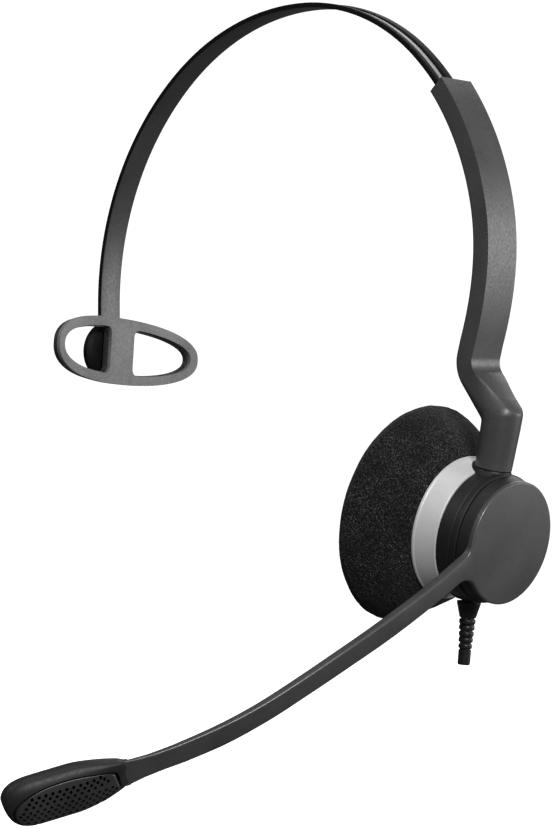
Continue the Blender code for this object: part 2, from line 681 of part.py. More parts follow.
def make_cushion(parent):
    """Foam ear cushion: dish-shaped back, round rim, flat front with an opening over the speaker."""
    edge = CUSHION_RADIUS / MM
    cup_turned("ear_cushion", [
        (19.7, -18.4), (24.6, -23.0), (27.5, -27.4), (edge - 0.35, -30.6), (edge, -32.2),
        (edge - 0.5, -33.6), (edge - 1.9, -35.0), (24.8, -36.0), (14.0, -36.0), (11.3, -34.9),
        (10.4, -32.4), (10.4, -28.0), (15.9, -28.0), (15.9, -24.8), (22.6, -24.8), (23.3, -23.8),
        (22.7, -22.6), (19.0, -18.8), (19.2, -18.4)], "black_foam", parent, steps=36)


def make_cup_electrics(parent):
    board = cup_turned("terminal_board", [(2.0, -13.2), (9.2, -13.2), (9.2, -14.2), (2.0, -14.2)],
                       "board_green", parent, steps=24)
    cut(board, block("board_notch", (4 * MM, 4 * MM, 3 * MM), CUTTERS,
                     cup_frame() @ Matrix.Translation((0, -9.4 * MM, -13.7 * MM))))
    # Rubber strain relief: flange inside the housing, neck, cone, five ribs and an open end cuff.
    lean = radians(6.3)
    frame = cup_frame() @ Matrix.Translation(Vector((0, -17.65, -10.3)) * MM) @ Matrix.Rotation(-lean, 4, "X")
    frame = frame @ Matrix.Rotation(pi / 2, 4, "X")
    down = [(0.95, -6.3), (3.4, -6.3), (3.4, -5.5), (1.9, -5.5), (1.9, 0.35), (3.15, 0.35),
            (3.15, 0.7), (2.1, 4.4)]
    for rib in range(5):
        foot = 4.9 + rib * 1.56
        radius = 2.15 - 0.08 * rib
        down += [(1.5, foot), (radius, foot + 0.35), (radius, foot + 0.95), (1.5, foot + 1.3)]
    down += [(1.45, 12.9), (1.65, 13.1), (1.65, 16.7), (1.5, 16.9), (0.95, 16.9)]
    relief = turned("strain_relief", in_metres(reversed(down)), PARTS, frame, 14)
    finish_part(relief, "black_plastic", parent)


# ---------------------------------------------------------------- boom

def boom_point(s, lift=0.0, depth=0.0):
    """Cup-frame point on the boom: s along the disc's plane, lift across it, depth inward of its middle."""
    inward = max(0.0, s - BOOM_INWARD_START) ** 2 / (2 * BOOM_INWARD_RADIUS)
    dip = BOOM_DIP * exp(-((s - BOOM_DIP_AT) / BOOM_DIP_SPREAD) ** 2)
    rise = BOOM_OFFSET + max(0.0, s - BOOM_LIFT_START) ** 2 / (2 * BOOM_LIFT_RADIUS) + lift - dip
    along = Vector((-cos(BOOM_DROP), -sin(BOOM_DROP), 0.0))
    across = Vector((-sin(BOOM_DROP), cos(BOOM_DROP), 0.0))
    return along * s + across * rise + Vector((0, 0, -BOOM_THICK / 2 - inward - depth))


def boom_axes(s):
    """The boom's direction, its height axis and its outward axis at s, in the cup's frame."""
    step = 0.5 * MM
    along = (boom_point(s + step) - boom_point(s - step)).normalized()
    across = Vector((-sin(BOOM_DROP), cos(BOOM_DROP), 0.0))
    height = (across - along * across.dot(along)).normalized()
    return along, height, height.cross(along)


def boom_stations():
    """Sections from inside the disc's rim, flared where they meet it, to the microphone pod."""
    root = BOOM_ROOT / MM
    flares = [(root, 3.8, 2.2), (root + 1.4, 2.6, 1.2), (root + 2.8, 1.5, 0.55), (root + 4.4, 0.7, 0.2),
              (root + 6.4, 0.2, 0.0), (root + 9.0, 0.0, 0.0)]
    runs = [(s, 0.0, 0.0) for s in spread(root + 18.0, BOOM_END / MM, 13)]
    frame = cup_frame()
    stations = []
    for s, above, below in flares + runs:
        along, height, outward = boom_axes(s * MM)
        half = BOOM_HEIGHT / 2 + (above + below) / 2 * MM
        centre = boom_point(s * MM, (above - below) / 2 * MM)
        stations.append((frame @ centre, frame.to_3x3() @ outward, frame.to_3x3() @ height,
                         BOOM_THICK / 2, half, 0.7 * MM))
    return stations


def curve_tube(name, points, radius, collection):
    """A round tube along points, as a closed mesh made from a curve."""
    curve = bpy.data.curves.new(name, "CURVE")
    curve.dimensions = "3D"
    curve.bevel_depth = radius
    curve.bevel_resolution = 2
    curve.use_fill_caps = True
    spline = curve.splines.new("POLY")
    spline.points.add(len(points) - 1)
    for place, point in zip(spline.points, points):
        place.co = (*point, 1.0)
    holder = bpy.data.objects.new(name + "_curve", curve)
    bpy.context.scene.collection.objects.link(holder)
    bpy.context.view_layer.update()
    made = holder.evaluated_get(bpy.context.evaluated_depsgraph_get())
    mesh = bpy.data.meshes.new_from_object(made)
    bpy.data.objects.remove(holder)
    work = bmesh.new()
    work.from_mesh(mesh)
    bmesh.ops.remove_doubles(work, verts=work.verts, dist=0.00001)
    bmesh.ops.recalc_face_normals(work, faces=work.faces)
    work.to_mesh(mesh)
    work.free()
    mesh.name = name
    shade(mesh)
    return add_object(name, mesh, collection)


def lead_run(past_end):
    """The lead's line from behind the disc's plate, through the bar, to some millimetres past its end."""
    frame = cup_frame()
    stops = spread(12.2, BOOM_END / MM, 16) + [BOOM_END / MM + past_end]
    return [in_cup(-9.4, -3.5, -2.45)] + [frame @ boom_point(s * MM) for s in stops]


def make_boom_arm(parent):
    """The disc with its boss and snap hooks, the bar that flares out of it, and the lead's bore."""
    radius = DISC_RADIUS / MM
    back = -DISC_THICK / MM
    boom = cup_turned("boom_arm", [
        (0, 0), (radius - 0.8, 0), (radius - 0.25, -0.2), (radius, -0.75), (radius, back),
        (radius - 1.4, back), (radius - 1.4, -1.6), (6.0, -1.6), (6.0, -7.0), (5.3, -7.0),
        (5.3, -8.3), (5.9, -8.5), (5.9, -9.0), (4.2, -9.0), (4.2, -1.6), (0, -1.6)],
        "dark_plastic", parent)
    join(boom, loft("boom_bar", boom_stations(), CUTTERS))
    frame = cup_frame()
    cut(boom, curve_tube("lead_bore", lead_run(5.0), LEAD_BORE, CUTTERS))
    notch = frame @ Matrix.Translation((0, 0, -2.7 * MM)) @ Matrix.Rotation(NOTCH_TURN, 4, "Z")
    cut(boom, block("boss_notch", (4 * MM, 2.2 * MM, 2.2 * MM), CUTTERS,
                    notch @ Matrix.Translation((5.1 * MM, 0, 0))))
    cup_turned("boom_retaining_ring", [(5.65, -7.25), (8.3, -7.25), (8.3, -8.0), (5.65, -8.0)],
               "steel", parent, steps=28)


def make_lead(parent):
    """Microphone lead: up the hollow boss, out through its notch and along the bore."""
    inner = [(0, 0, -9.6), (0, 0, -6.4), (-0.3, -0.15, -4.3), (-1.2, -0.55, -3.1), (-2.7, -1.25, -2.65),
             (-4.6, -2.15, -2.6), (-7.0, -3.05, -2.6)]
    points = [in_cup(*p) for p in inner] + lead_run(2.6)
    finish_part(curve_tube("mic_lead", points, LEAD_RADIUS, PARTS), "copper", parent)


def make_detent(parent):
    cup_turned("boom_detent_ring", [(7.6, -3.3), (13.4, -3.3), (13.4, -4.6), (7.6, -4.6)],
               "grey_plastic", parent, steps=32)


def pod_frame():
    """Microphone pod frame: local X along the pod, local Y down across it, local Z outward."""
    frame = cup_frame()
    along, height, outward = boom_axes(POD_AIM)
    matrix = Matrix.Identity(4)
    for column, axis in enumerate((along, -height, outward, boom_point(BOOM_END + 2 * GAP))):
        for row in range(3):
            matrix[row][column] = axis[row]
    return frame @ matrix


def make_pod(parent):
    frame = pod_frame()
    turn = frame.to_3x3()
    length = POD_LENGTH / MM
    stations = []
    for share in (0.0, 0.04, 0.1, 0.18, 0.28, 0.4, 0.55, 0.7, 0.8, 0.88, 0.94, 0.975, 0.995):
        swell = min(1.0, share / 0.24)
        swell = swell * swell * (3 - 2 * swell)
        end = (1 - max(0.0, (share - 0.64) / 0.36) ** 2.3) ** 0.5
        half_high = (3.0 + (POD_HEIGHT / MM / 2 - 3.0) * swell) * end
        half_thick = (2.1 + (POD_THICK / MM / 2 - 2.1) * swell) * (0.35 + 0.65 * end)
        centre = frame @ (Vector((share * length, -0.2 * swell, -0.6 * swell)) * MM)
        corner = min(half_high, half_thick) * 0.85
        stations.append((centre, turn @ Vector((0, 0, 1)), turn @ Vector((0, 1, 0)),
                         half_thick * MM, half_high * MM, corner * MM))
    pod = loft("mic_pod", stations, PARTS, per_corner=4)
    face = (POD_THICK / 2 - 0.6 * MM)
    middle = Matrix.Translation((13.6 * MM, -0.2 * MM, 0))
    cut(pod, prism("pod_window", oval(11.2 * MM, 4.1 * MM, 2.6, 28), face - 1.5 * MM, face + 3 * MM,
                   CUTTERS, frame @ middle))
    cut(pod, prism("pod_cavity", oval(9.8 * MM, 3.2 * MM, 2.6, 20), -2.6 * MM, face,
                   CUTTERS, frame @ middle))
    cut(pod, cylinder("pod_lead_way", LEAD_BORE, frame @ Vector((-2 * MM, 0, 0)),
                      frame @ Vector((7 * MM, 0, 0)), CUTTERS, 12))
    finish_part(pod, "dark_plastic", parent)

    grille = prism("mic_grille", oval(10.9 * MM, 3.8 * MM, 2.6, 28), face - 1.2 * MM, face - 0.4 * MM,
                   PARTS, frame @ middle)
    holes = []
    for row, count in ((-1, 6), (0, 7), (1, 6)):
        for i in range(count):
            place = Vector(((i - (count - 1) / 2) * 2.6, row * 2.0, 1.4)) * MM
            start = frame @ middle @ place
            end = frame @ middle @ (place + Vector((0, 0, 3 * MM)))
            holes.append(cylinder("hole", 0.5 * MM, start, end, CUTTERS, 6))
    cut(grille, merged("mic_holes", holes, CUTTERS))
    finish_part(grille, "black_plastic", parent)

    windscreen = prism("mic_windscreen", oval(9.4 * MM, 2.8 * MM, 2.6, 20), 0.4 * MM,
                       face - 1.5 * MM, PARTS, frame @ middle)
    finish_part(windscreen, "black_foam", parent)
    capsule = cylinder("mic_capsule", 2.6 * MM, frame @ (Vector((16.0, -0.2, -2.3)) * MM),
                       frame @ (Vector((16.0, -0.2, 0.1)) * MM), PARTS, 24)
    finish_part(capsule, "steel", parent)


def build():
    make_headband()
    make_temple_hub()
    make_temple_pad()
    make_arm()
    foot, up = neck_axis()
    cup = pivot("ear_cup_pivot", foot + up * NECK_SEAM)
    make_housing(cup)
    make_bright_ring(cup)
    make_speaker(cup)
    make_cushion(cup)
    make_cup_electrics(cup)
    make_detent(cup)
    boom = pivot("boom_pivot", CUP_ORIGIN)
    make_boom_arm(boom)
    make_lead(boom)
    make_pod(boom)


clear_scene()
PARTS = new_collection("office_headset")
CUTTERS = new_collection("cutters")
build()
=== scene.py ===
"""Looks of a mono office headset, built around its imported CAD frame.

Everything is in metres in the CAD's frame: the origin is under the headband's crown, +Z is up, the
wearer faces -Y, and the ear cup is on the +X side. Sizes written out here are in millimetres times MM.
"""

import json
from math import atan2, cos, exp, pi, radians, sin, sqrt, tau

import bmesh
import bpy
from mathutils import Matrix, Vector, noise

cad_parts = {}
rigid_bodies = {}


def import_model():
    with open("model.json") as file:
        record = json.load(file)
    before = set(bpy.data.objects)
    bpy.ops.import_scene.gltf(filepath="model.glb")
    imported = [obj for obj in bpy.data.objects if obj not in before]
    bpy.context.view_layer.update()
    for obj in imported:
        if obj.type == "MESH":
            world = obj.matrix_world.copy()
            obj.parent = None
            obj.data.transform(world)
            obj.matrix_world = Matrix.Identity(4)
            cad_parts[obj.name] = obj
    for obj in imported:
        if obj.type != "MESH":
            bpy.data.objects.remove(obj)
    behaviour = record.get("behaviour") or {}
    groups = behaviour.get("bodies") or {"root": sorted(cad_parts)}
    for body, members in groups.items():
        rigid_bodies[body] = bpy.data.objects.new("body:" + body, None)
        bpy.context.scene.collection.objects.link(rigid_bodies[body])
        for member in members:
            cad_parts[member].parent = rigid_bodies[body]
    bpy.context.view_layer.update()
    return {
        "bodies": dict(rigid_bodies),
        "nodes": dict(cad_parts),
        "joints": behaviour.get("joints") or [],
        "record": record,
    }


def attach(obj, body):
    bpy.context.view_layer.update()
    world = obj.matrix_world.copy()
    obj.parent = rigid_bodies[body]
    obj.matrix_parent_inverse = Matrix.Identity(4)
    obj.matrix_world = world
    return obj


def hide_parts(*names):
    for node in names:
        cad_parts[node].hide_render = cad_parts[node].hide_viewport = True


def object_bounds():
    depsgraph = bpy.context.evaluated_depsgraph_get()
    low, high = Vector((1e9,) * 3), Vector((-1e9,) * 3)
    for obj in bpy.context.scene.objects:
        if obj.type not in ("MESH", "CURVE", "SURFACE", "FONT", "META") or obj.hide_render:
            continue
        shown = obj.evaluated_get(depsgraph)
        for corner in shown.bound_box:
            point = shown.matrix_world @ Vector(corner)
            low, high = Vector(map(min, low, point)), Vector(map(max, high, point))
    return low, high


MM = 0.001
GAP = 0.3 * MM

# Camera, fitted once and kept: where it looks, how it is turned, how far off it stands.
CAMERA_AIM = Vector((-0.00655, -0.00620, -0.10901))
CAMERA_AZIMUTH = radians(41.0)
CAMERA_ELEVATION = radians(0.2)
CAMERA_DISTANCE = 1.035
CAMERA_LENS = 167.19  # millimetres, on a 36 mm long side
FLOOR_DROP = 30 * MM  # the floor lies this far under the microphone

# Headband, as in the CAD: tangent arcs given by their outer radius.
BAND_WIDTH = 7.8 * MM
BAND_THICK = 1.4 * MM
CROWN_RADIUS_CUP = 57.5 * MM
CROWN_TURN_CUP = radians(43.5)
SLIDE_RADIUS = 73.5 * MM
SLIDE_TURN = radians(57.5)
CROWN_RADIUS_PAD = 72.0 * MM
CROWN_TURN_PAD = radians(40.0)
SIDE_RADIUS_PAD = 82.0 * MM
SIDE_TURN_PAD = radians(50.0)
BAND_TAIL = 16.5 * MM
STRIP_FRONT = -1.9 * MM  # the pale strip sunk in the outer face
STRIP_REAR = 0.3 * MM

# Arm, as in the CAD but for the bow, the jog's corner and the raised face over the elbow.
ARM_WIDTH = 12.0 * MM
ARM_OUTER_RADIUS = 76.2 * MM
ARM_INNER_RADIUS = 70.8 * MM
ARM_HALF_THICK = (ARM_OUTER_RADIUS - ARM_INNER_RADIUS) / 2
ARM_MOUTH = radians(52.5)
ARM_BEND_START = radians(108.0)
ARM_JOG_RADIUS = 7.0 * MM
ARM_ELBOW_RADIUS = 6.2 * MM
ARM_JOG_CORNER = Vector((56.0, 0.0, -96.6)) * MM  # 1 mm inward of the CAD's
ARM_BOW = 1.0 * MM
ARM_ELBOW_CORNER = Vector((65.0, 0.0, -109.1)) * MM
ELBOW_FACE_LIFT = 4.2 * MM  # the flat outer face over the elbow's corner
SLOT_END = radians(104.0)
COVER_WIDTH = 8.6 * MM
COVER_START = radians(56.0)
COVER_END = radians(109.0)
TUBE_TOP_RADIUS = 5.2 * MM
TUBE_END_RADIUS = 4.85 * MM
STEM_RADIUS = 2.3 * MM

# Ear cup, as in the CAD but for the cushion's slack. Lengths here are bare millimetres, like the outlines.
# Local Z is the cup's axis outward, Y up the neck, X to the back.
CUP_TILT = radians(12.5)
CUP_ORIGIN = Vector((67.9, 0.0, -142.1)) * MM
NECK_DEPTH = 10.0
NECK_SEAM = 17.4
CORD_DEPTH = 10.3
CUSHION_RADIUS = 29.3
CUSHION_SLACK = 3.6  # how far its edge is drawn in low down at the back
CUSHION_SLACK_AT = radians(301)  # counted from the back, up and round
CUSHION_SLACK_SPREAD = radians(31)

# Boom, as in the CAD but for BOOM_FULLER below, and for the pod's root, its blunter end and its grille. The
# pod's own lengths are bare millimetres.
BOOM_DROP = radians(33.4)
BOOM_OFFSET = 4.15 * MM
BOOM_THICK = 2.7 * MM
BOOM_HEIGHT = 4.3 * MM
BOOM_INWARD_START = 18.0 * MM
BOOM_INWARD_RADIUS = 213.0 * MM
BOOM_LIFT_START = 85.0 * MM
BOOM_LIFT_RADIUS = 325.0 * MM
BOOM_DIP = 0.7 * MM
BOOM_DIP_AT = 86.0 * MM
BOOM_DIP_SPREAD = 16.0 * MM
BOOM_END = 119.7 * MM
BOOM_DISC_RADIUS = 16.3 * MM
BOOM_DISC_THICK = 1.75 * MM
BOOM_BAR_START = 24.0 * MM  # past the fillets between the disc and the bar
POD_AIM = 133.5 * MM
POD_LENGTH = 31.0
POD_HEIGHT = 12.6
POD_THICK = 7.6
POD_ROOT_HALF = 3.42
POD_ROOT_DRIFT = -0.78
GRILLE_SHARE = 0.51  # middle of the grille along the pod
GRILLE_HALF_SHARE = 0.455
GRILLE_TURN = radians(18)  # its middle is turned down from straight outward
GRILLE_HALF_TURN = radians(60)
HOLE_PITCH = 0.057  # as a share of the pod's length

# Temple pad, as in the CAD but for its slimmer rim and its ends.
PAD_LENGTH = 58.4 * MM
PAD_HEIGHT = 18.6 * MM
PAD_TURN = radians(5.0)
PAD_CURVE = 150.0 * MM
PAD_FACE_X = -69.8 * MM
PAD_Z = -91.5 * MM
PAD_WEB = 9.6 * MM
PAD_RIM = 2.6 * MM  # half a millimetre slimmer than the CAD's
PAD_TAPER = 0.05
PAD_FRONT_SHARE = 0.945  # the soft loop ends a little short of the CAD's oval
PAD_REAR_SHARE = 0.985
BALL_X = -72.3 * MM

SIDEWAYS = Vector((0.0, 1.0, 0.0))
UP = Vector((0.0, 0.0, 1.0))

# The boom's bar in the cup's frame: along it, and across it in the plane of the disc.
BOOM_ALONG = Vector((-cos(BOOM_DROP), -sin(BOOM_DROP), 0.0))
BOOM_ACROSS = Vector((-sin(BOOM_DROP), cos(BOOM_DROP), 0.0))


def spoke(angle):
    """Unit vector in the headband's plane, turned from straight up towards the cup."""
    return Vector((sin(angle), 0.0, cos(angle)))


def compass(azimuth, elevation):
    """Unit vector away from the headset, turned from the wearer's front and then raised."""
    return Vector((sin(azimuth) * cos(elevation), -cos(azimuth) * cos(elevation), sin(elevation)))


# ---- mesh helpers

def new_object(name, data):
    obj = bpy.data.objects.new(name, data)
    bpy.context.scene.collection.objects.link(obj)
    return obj


def tidy_mesh(mesh, sharp=35.0):
    """Merges doubles, faces outward, shades smooth with the corners over an angle kept sharp."""
    work = bmesh.new()
    work.from_mesh(mesh)
    bmesh.ops.remove_doubles(work, verts=work.verts, dist=0.000002)
    bmesh.ops.recalc_face_normals(work, faces=work.faces)
    work.to_mesh(mesh)
    work.free()
    mesh.shade_smooth()
    mesh.set_sharp_from_angle(angle=radians(sharp))


def skin(name, rings, loop=False, sharp=35.0, caps=None):
    """A closed mesh through equal rings of points. A loop joins the last ring to the first.

    Otherwise each end is closed by one face, or by several given as places in a ring.
    """
    size = len(rings[0])
    count = len(rings)
    faces = []
    for row in range(count if loop else count - 1):
        here = row * size
        there = (row + 1) % count * size
        for i in range(size):
            j = (i + 1) % size
            faces.append((here + i, here + j, there + j, there + i))
    if not loop:
        for base in (0, (count - 1) * size):
            for cap in caps or [range(size)]:
                faces.append(tuple(base + i for i in cap))
    mesh = bpy.data.meshes.new(name)
    mesh.from_pydata([point for ring in rings for point in ring], [], faces)
    tidy_mesh(mesh, sharp)
    return new_object(name, mesh)


def angles(count):
    return [tau * i / count for i in range(count)]


def turned(name, outline, frame, steps=96, sharp=35.0):
    """A solid turned about the frame's Z from (radius, z) points in mm. On the axis it closes."""
    ring_shaped = min(radius for radius, _ in outline) > 0.0
    rings = [[frame @ Vector((radius * cos(a), radius * sin(a), z)) for a in angles(steps)]
             for radius, z in ((max(r, 0.001) * MM, z * MM) for r, z in outline)]
    return skin(name, rings, loop=ring_shaped, sharp=sharp)


def rounded(outline, radius, steps=4):
    """An open outline with each inner corner replaced by an arc of about this radius."""
    points = [Vector(p) for p in outline]
    made = [points[0]]
    for before, corner, after in zip(points, points[1:], points[2:]):
        a = before - corner
        b = after - corner
        reach = min(radius, a.length * 0.45, b.length * 0.45)
        start = corner + a.normalized() * reach
        end = corner + b.normalized() * reach
        for i in range(steps + 1):
            t = i / steps
            made.append(start.lerp(corner, t).lerp(corner.lerp(end, t), t))
    made.append(points[-1])
    return [tuple(p) for p in made]


def settle(obj):
    """Turns an object's modifiers into its mesh."""
    made = obj.evaluated_get(bpy.context.evaluated_depsgraph_get())
    mesh = bpy.data.meshes.new_from_object(made)
    old = obj.data
    obj.modifiers.clear()
    obj.data = mesh
    bpy.data.meshes.remove(old)
    return obj


def boolean(obj, tool, operation="DIFFERENCE", sharp=35.0, many=False):
    """Applies one boolean and removes its tool, which may be many shapes that touch each other."""
    modifier = obj.modifiers.new("boolean", "BOOLEAN")
    modifier.operation = operation
    modifier.object = tool
    modifier.solver = "EXACT"
    modifier.use_self = many
    settle(obj)
    bpy.data.objects.remove(tool)
    tidy_mesh(obj.data, sharp)
    return obj


def soften(obj, width, segments=3, angle=38.0, sharp=60.0, slot=-1):
    """Rounds every edge over an angle; the roundings can take another of the object's materials."""
    modifier = obj.modifiers.new("edge", "BEVEL")
    modifier.width = width
    modifier.segments = segments
    modifier.limit_method = "ANGLE"
    modifier.angle_limit = radians(angle)
    modifier.harden_normals = False
    modifier.material = slot
    settle(obj)
    tidy_mesh(obj.data, sharp)
    return obj


def gathered(name, objects):
    """One tool from several separate closed shapes."""
    work = bmesh.new()
    for obj in objects:
        work.from_mesh(obj.data)
        bpy.data.objects.remove(obj)
    mesh = bpy.data.meshes.new(name)
    work.to_mesh(mesh)
    work.free()
    return new_object(name, mesh)


def frame_of(x_axis, y_axis, z_axis, origin):
    """A frame from its three axes and its origin."""
    frame = Matrix.Identity(4)
    for column, axis in enumerate((x_axis, y_axis, z_axis, origin)):
        for row in range(3):
            frame[row][column] = axis[row]
    return frame


def frame_along(origin, direction):
    """A frame at the origin whose local Z points along the direction."""
    return Matrix.Translation(origin) @ direction.to_track_quat("Z", "Y").to_matrix().to_4x4()


def rod(name, radius, start, end, sides=24):
    frame = frame_along(start, end - start)
    length = (end - start).length / MM
    return turned(name, [(0, 0), (radius / MM, 0), (radius / MM, length), (0, length)], frame, sides)


def box_section(low, high, half_width, corner, per_corner=9):
    """Rounded rectangle as (a, b): a from low to high, b from -half_width to +half_width."""
    middle = (low + high) / 2
    half = (high - low) / 2
    corner = min(corner, half, half_width)
    points = []
    for quarter, (side_a, side_b) in enumerate(((1, 1), (-1, 1), (-1, -1), (1, -1))):
        for step in range(per_corner):
            angle = (quarter + step / (per_corner - 1)) * pi / 2
            points.append((middle + side_a * (half - corner) + corner * cos(angle),
                           side_b * (half_width - corner) + corner * sin(angle)))
    return points


def prism(name, outline, low, high, frame):
    """A flat outline, as (u, v) in metres, between two heights along the frame's Z."""
    return skin(name, [[frame @ Vector((u, v, low)) for u, v in outline],
                       [frame @ Vector((u, v, high)) for u, v in outline]])


def squarer(value, power):
    """A sine or cosine bent for a superellipse of this power."""
    return abs(value) ** (2 / power) * (1 if value >= 0 else -1)


def oval(half_long, half_high, power, count, taper=0.0):
    """A superellipse as (u, v) points. With a taper it gets lower towards +u."""
    points = []
    for angle in angles(count):
        u = squarer(cos(angle), power)
        v = squarer(sin(angle), power)
        points.append((half_long * u, half_high * v * (1 - taper * u)))
    return points


def spread(start, end, steps):
    return [start + (end - start) * i / steps for i in range(steps + 1)]


def ease(t):
    t = min(1.0, max(0.0, t))
    return t * t * (3 - 2 * t)


# ---- materials

def set_inputs(node, values):
    for name, value in values.items():
        node.inputs[name].default_value = value


def add_node(tree, kind, links, values=None):
    """A shader node with its inputs linked to sockets, or set to values."""
    node = tree.nodes.new("ShaderNode" + kind)
    set_inputs(node, values or {})
    for name, socket in links.items():
        tree.links.new(socket, node.inputs[name])
    return node


def shader_of(name, roughness, metallic=0.0, specular=0.5):
    """A node material with its Principled shader and object-space coordinates in metres."""
    material = bpy.data.materials.new(name)
    material.use_nodes = True
    tree = material.node_tree
    shader = tree.nodes["Principled BSDF"]
    set_inputs(shader, {"Roughness": roughness, "Metallic": metallic, "Specular IOR Level": specular})
    place = tree.nodes.new("ShaderNodeTexCoord").outputs["Object"]
    return material, tree, shader, place


def grain(tree, place, scale, detail=2.0, roughness=0.5):
    """Noise at a scale in cells per metre."""
    values = {"Scale": scale, "Detail": detail, "Roughness": roughness}
    return add_node(tree, "TexNoise", {"Vector": place}, values).outputs["Fac"]


def ramp(tree, value, stops):
    """A colour ramp from (position, grey or colour) stops."""
    node = add_node(tree, "ValToRGB", {"Fac": value})
    elements = node.color_ramp.elements
    while len(elements) < len(stops):
        elements.new(0.5)
    for element, (position, colour) in zip(elements, stops):
        element.position = position
        element.color = (*colour, 1.0) if isinstance(colour, tuple) else (colour, colour, colour, 1.0)
    return node.outputs["Color"]


def span(tree, value, low, high, from_low=0.3, from_high=0.7):
    """A value mapped to the range from low to high."""
    values = {"From Min": from_low, "From Max": from_high, "To Min": low, "To Max": high}
    return add_node(tree, "MapRange", {"Value": value}, values).outputs["Result"]


def add_bump(tree, shader, heights):
    """Bumps in a chain, from (height, strength, distance in metres)."""
    chain = {}
    for height, strength, distance in heights:
        values = {"Strength": strength, "Distance": distance}
        node = add_node(tree, "Bump", {"Height": height, **chain}, values)
        chain = {"Normal": node.outputs["Normal"]}
    tree.links.new(chain["Normal"], shader.inputs["Normal"])


def moulded(name, dark, light, roughness, spread_of=0.06, grain_scale=3200.0, bump=0.25, depth=0.03,
            specular=0.5, metallic=0.0):
    """Moulded plastic: a fine spark-eroded grain in colour, roughness and height, and faint wear."""
    material, tree, shader, place = shader_of(name, roughness, metallic, specular)
    fine = grain(tree, place, grain_scale, 3.0, 0.6)
    broad = grain(tree, place, 90.0, 2.0)
    mixed = tree.nodes.new("ShaderNodeMath")
    mixed.operation = "MULTIPLY_ADD"
    mixed.inputs[1].default_value = 0.55
    tree.links.new(fine, mixed.inputs[0])
    tree.links.new(span(tree, broad, 0.15, 0.3), mixed.inputs[2])
    tree.links.new(ramp(tree, mixed.outputs[0], [(0.36, dark), (0.64, light)]), shader.inputs["Base Color"])
    tree.links.new(span(tree, grain(tree, place, 1400.0, 4.0), roughness - spread_of, roughness + spread_of),
                   shader.inputs["Roughness"])
    add_bump(tree, shader, [(fine, bump, depth * MM)])
    return material


def foam_material():
    """Open-cell foam: dark pits between lighter cell walls, at about half a millimetre."""
    material, tree, shader, place = shader_of("open_cell_foam", 1.0, 0.0, 0.15)
    cells = add_node(tree, "TexVoronoi", {"Vector": place}, {"Scale": 1500.0})
    pits = span(tree, cells.outputs["Distance"], 0.0, 1.0, 0.1, 0.75)
    fine = grain(tree, place, 2600.0, 2.0, 0.7)
    patches = grain(tree, place, 160.0, 2.0)
    speck = tree.nodes.new("ShaderNodeMath")
    speck.operation = "MULTIPLY"
    tree.links.new(span(tree, fine, 0.0, 1.0, 0.38, 0.66), speck.inputs[0])
    tree.links.new(span(tree, patches, 0.75, 1.0), speck.inputs[1])
    tree.links.new(ramp(tree, speck.outputs[0], [(0.0, 0.002), (0.35, 0.005), (0.7, 0.028), (1.0, 0.085)]),
                   shader.inputs["Base Color"])
    set_inputs(shader, {"Sheen Weight": 0.05, "Sheen Roughness": 0.5})
    add_bump(tree, shader, [(pits, 0.8, 0.25 * MM), (fine, 0.7, 0.12 * MM)])
    return material


def brushed(name, colour, roughness, along=(1.0, 1.0, 1.0)):
    """Metal with a fine drawn grain that is stretched along one axis."""
    material, tree, shader, place = shader_of(name, roughness, 1.0)
    mapping = add_node(tree, "Mapping", {"Vector": place}, {"Scale": along})
    lines = grain(tree, mapping.outputs["Vector"], 2600.0, 3.0, 0.6)
    darker = tuple(c * 0.82 for c in colour)
    tree.links.new(ramp(tree, lines, [(0.25, darker), (0.75, colour)]), shader.inputs["Base Color"])
    tree.links.new(span(tree, lines, roughness - 0.06, roughness + 0.08), shader.inputs["Roughness"])
    add_bump(tree, shader, [(lines, 0.12, 0.02 * MM)])
    return material


def make_materials():
    """Every finish on the headset, by the name that the pieces ask for."""
    return {
        "arm": moulded("arm_plastic", 0.032, 0.062, 0.44, bump=0.3),
        # Lighter plastic for the arm's edge roundings: a painted highlight along its crease.
        "arm_edge_painted_highlight": moulded("arm_plastic_painted_highlight", 0.10, 0.15, 0.34, bump=0.1),
        # Lighter plastic for the boom's edge roundings: a painted highlight on the disc's rim and the bar's
        # edges.
        "boom_edge": moulded("boom_plastic_painted_highlight", 0.055, 0.085, 0.32, bump=0.1),
        "boom": moulded("boom_plastic", 0.024, 0.050, 0.46, bump=0.35),
        "housing": moulded("housing_plastic", 0.005, 0.011, 0.52, bump=0.15, specular=0.3),
        "black": moulded("black_plastic", 0.002, 0.005, 0.6, bump=0.15, specular=0.12),
        "band": moulded("band_plastic", 0.022, 0.036, 0.40, bump=0.10),
        "pad": moulded("pad_rubber", 0.080, 0.190, 0.6, grain_scale=2300.0, bump=0.45, depth=0.05),
        "pad_back": moulded("pad_back_plastic", 0.014, 0.022, 0.5),
        "relief": moulded("relief_rubber", 0.004, 0.010, 0.42, bump=0.2, specular=0.35),
        "pod": moulded("pod_plastic", 0.008, 0.019, 0.5, bump=0.25, specular=0.3),
        "grille": moulded("grille_plastic", 0.018, 0.034, 0.42, bump=0.15),
        "silver": moulded("satin_silver", 0.46, 0.56, 0.5, grain_scale=4200.0, bump=0.10, metallic=0.2),
        "strip": moulded("band_strip", 0.12, 0.20, 0.42, bump=0.08),
        "steel": brushed("turned_steel", (0.55, 0.55, 0.56), 0.3, (1.0, 1.0, 5.0)),
        "copper": brushed("lead_copper", (0.62, 0.30, 0.16), 0.4),
        "board": moulded("board_green", (0.010, 0.070, 0.030), (0.020, 0.120, 0.050), 0.4),
        "film": moulded("speaker_film", 0.42, 0.52, 0.35, bump=0.08),
        "foam": foam_material(),
    }


# ---- headband

def crown_centre(radius):
    """Centre of an arc whose top is the band's outer face at the crown."""
    return Vector((0.0, 0.0, BAND_THICK - radius))


def slide_centre():
    """Centre of the arc that the arm slides along."""
    return crown_centre(CROWN_RADIUS_CUP) - spoke(CROWN_TURN_CUP) * (SLIDE_RADIUS - CROWN_RADIUS_CUP)


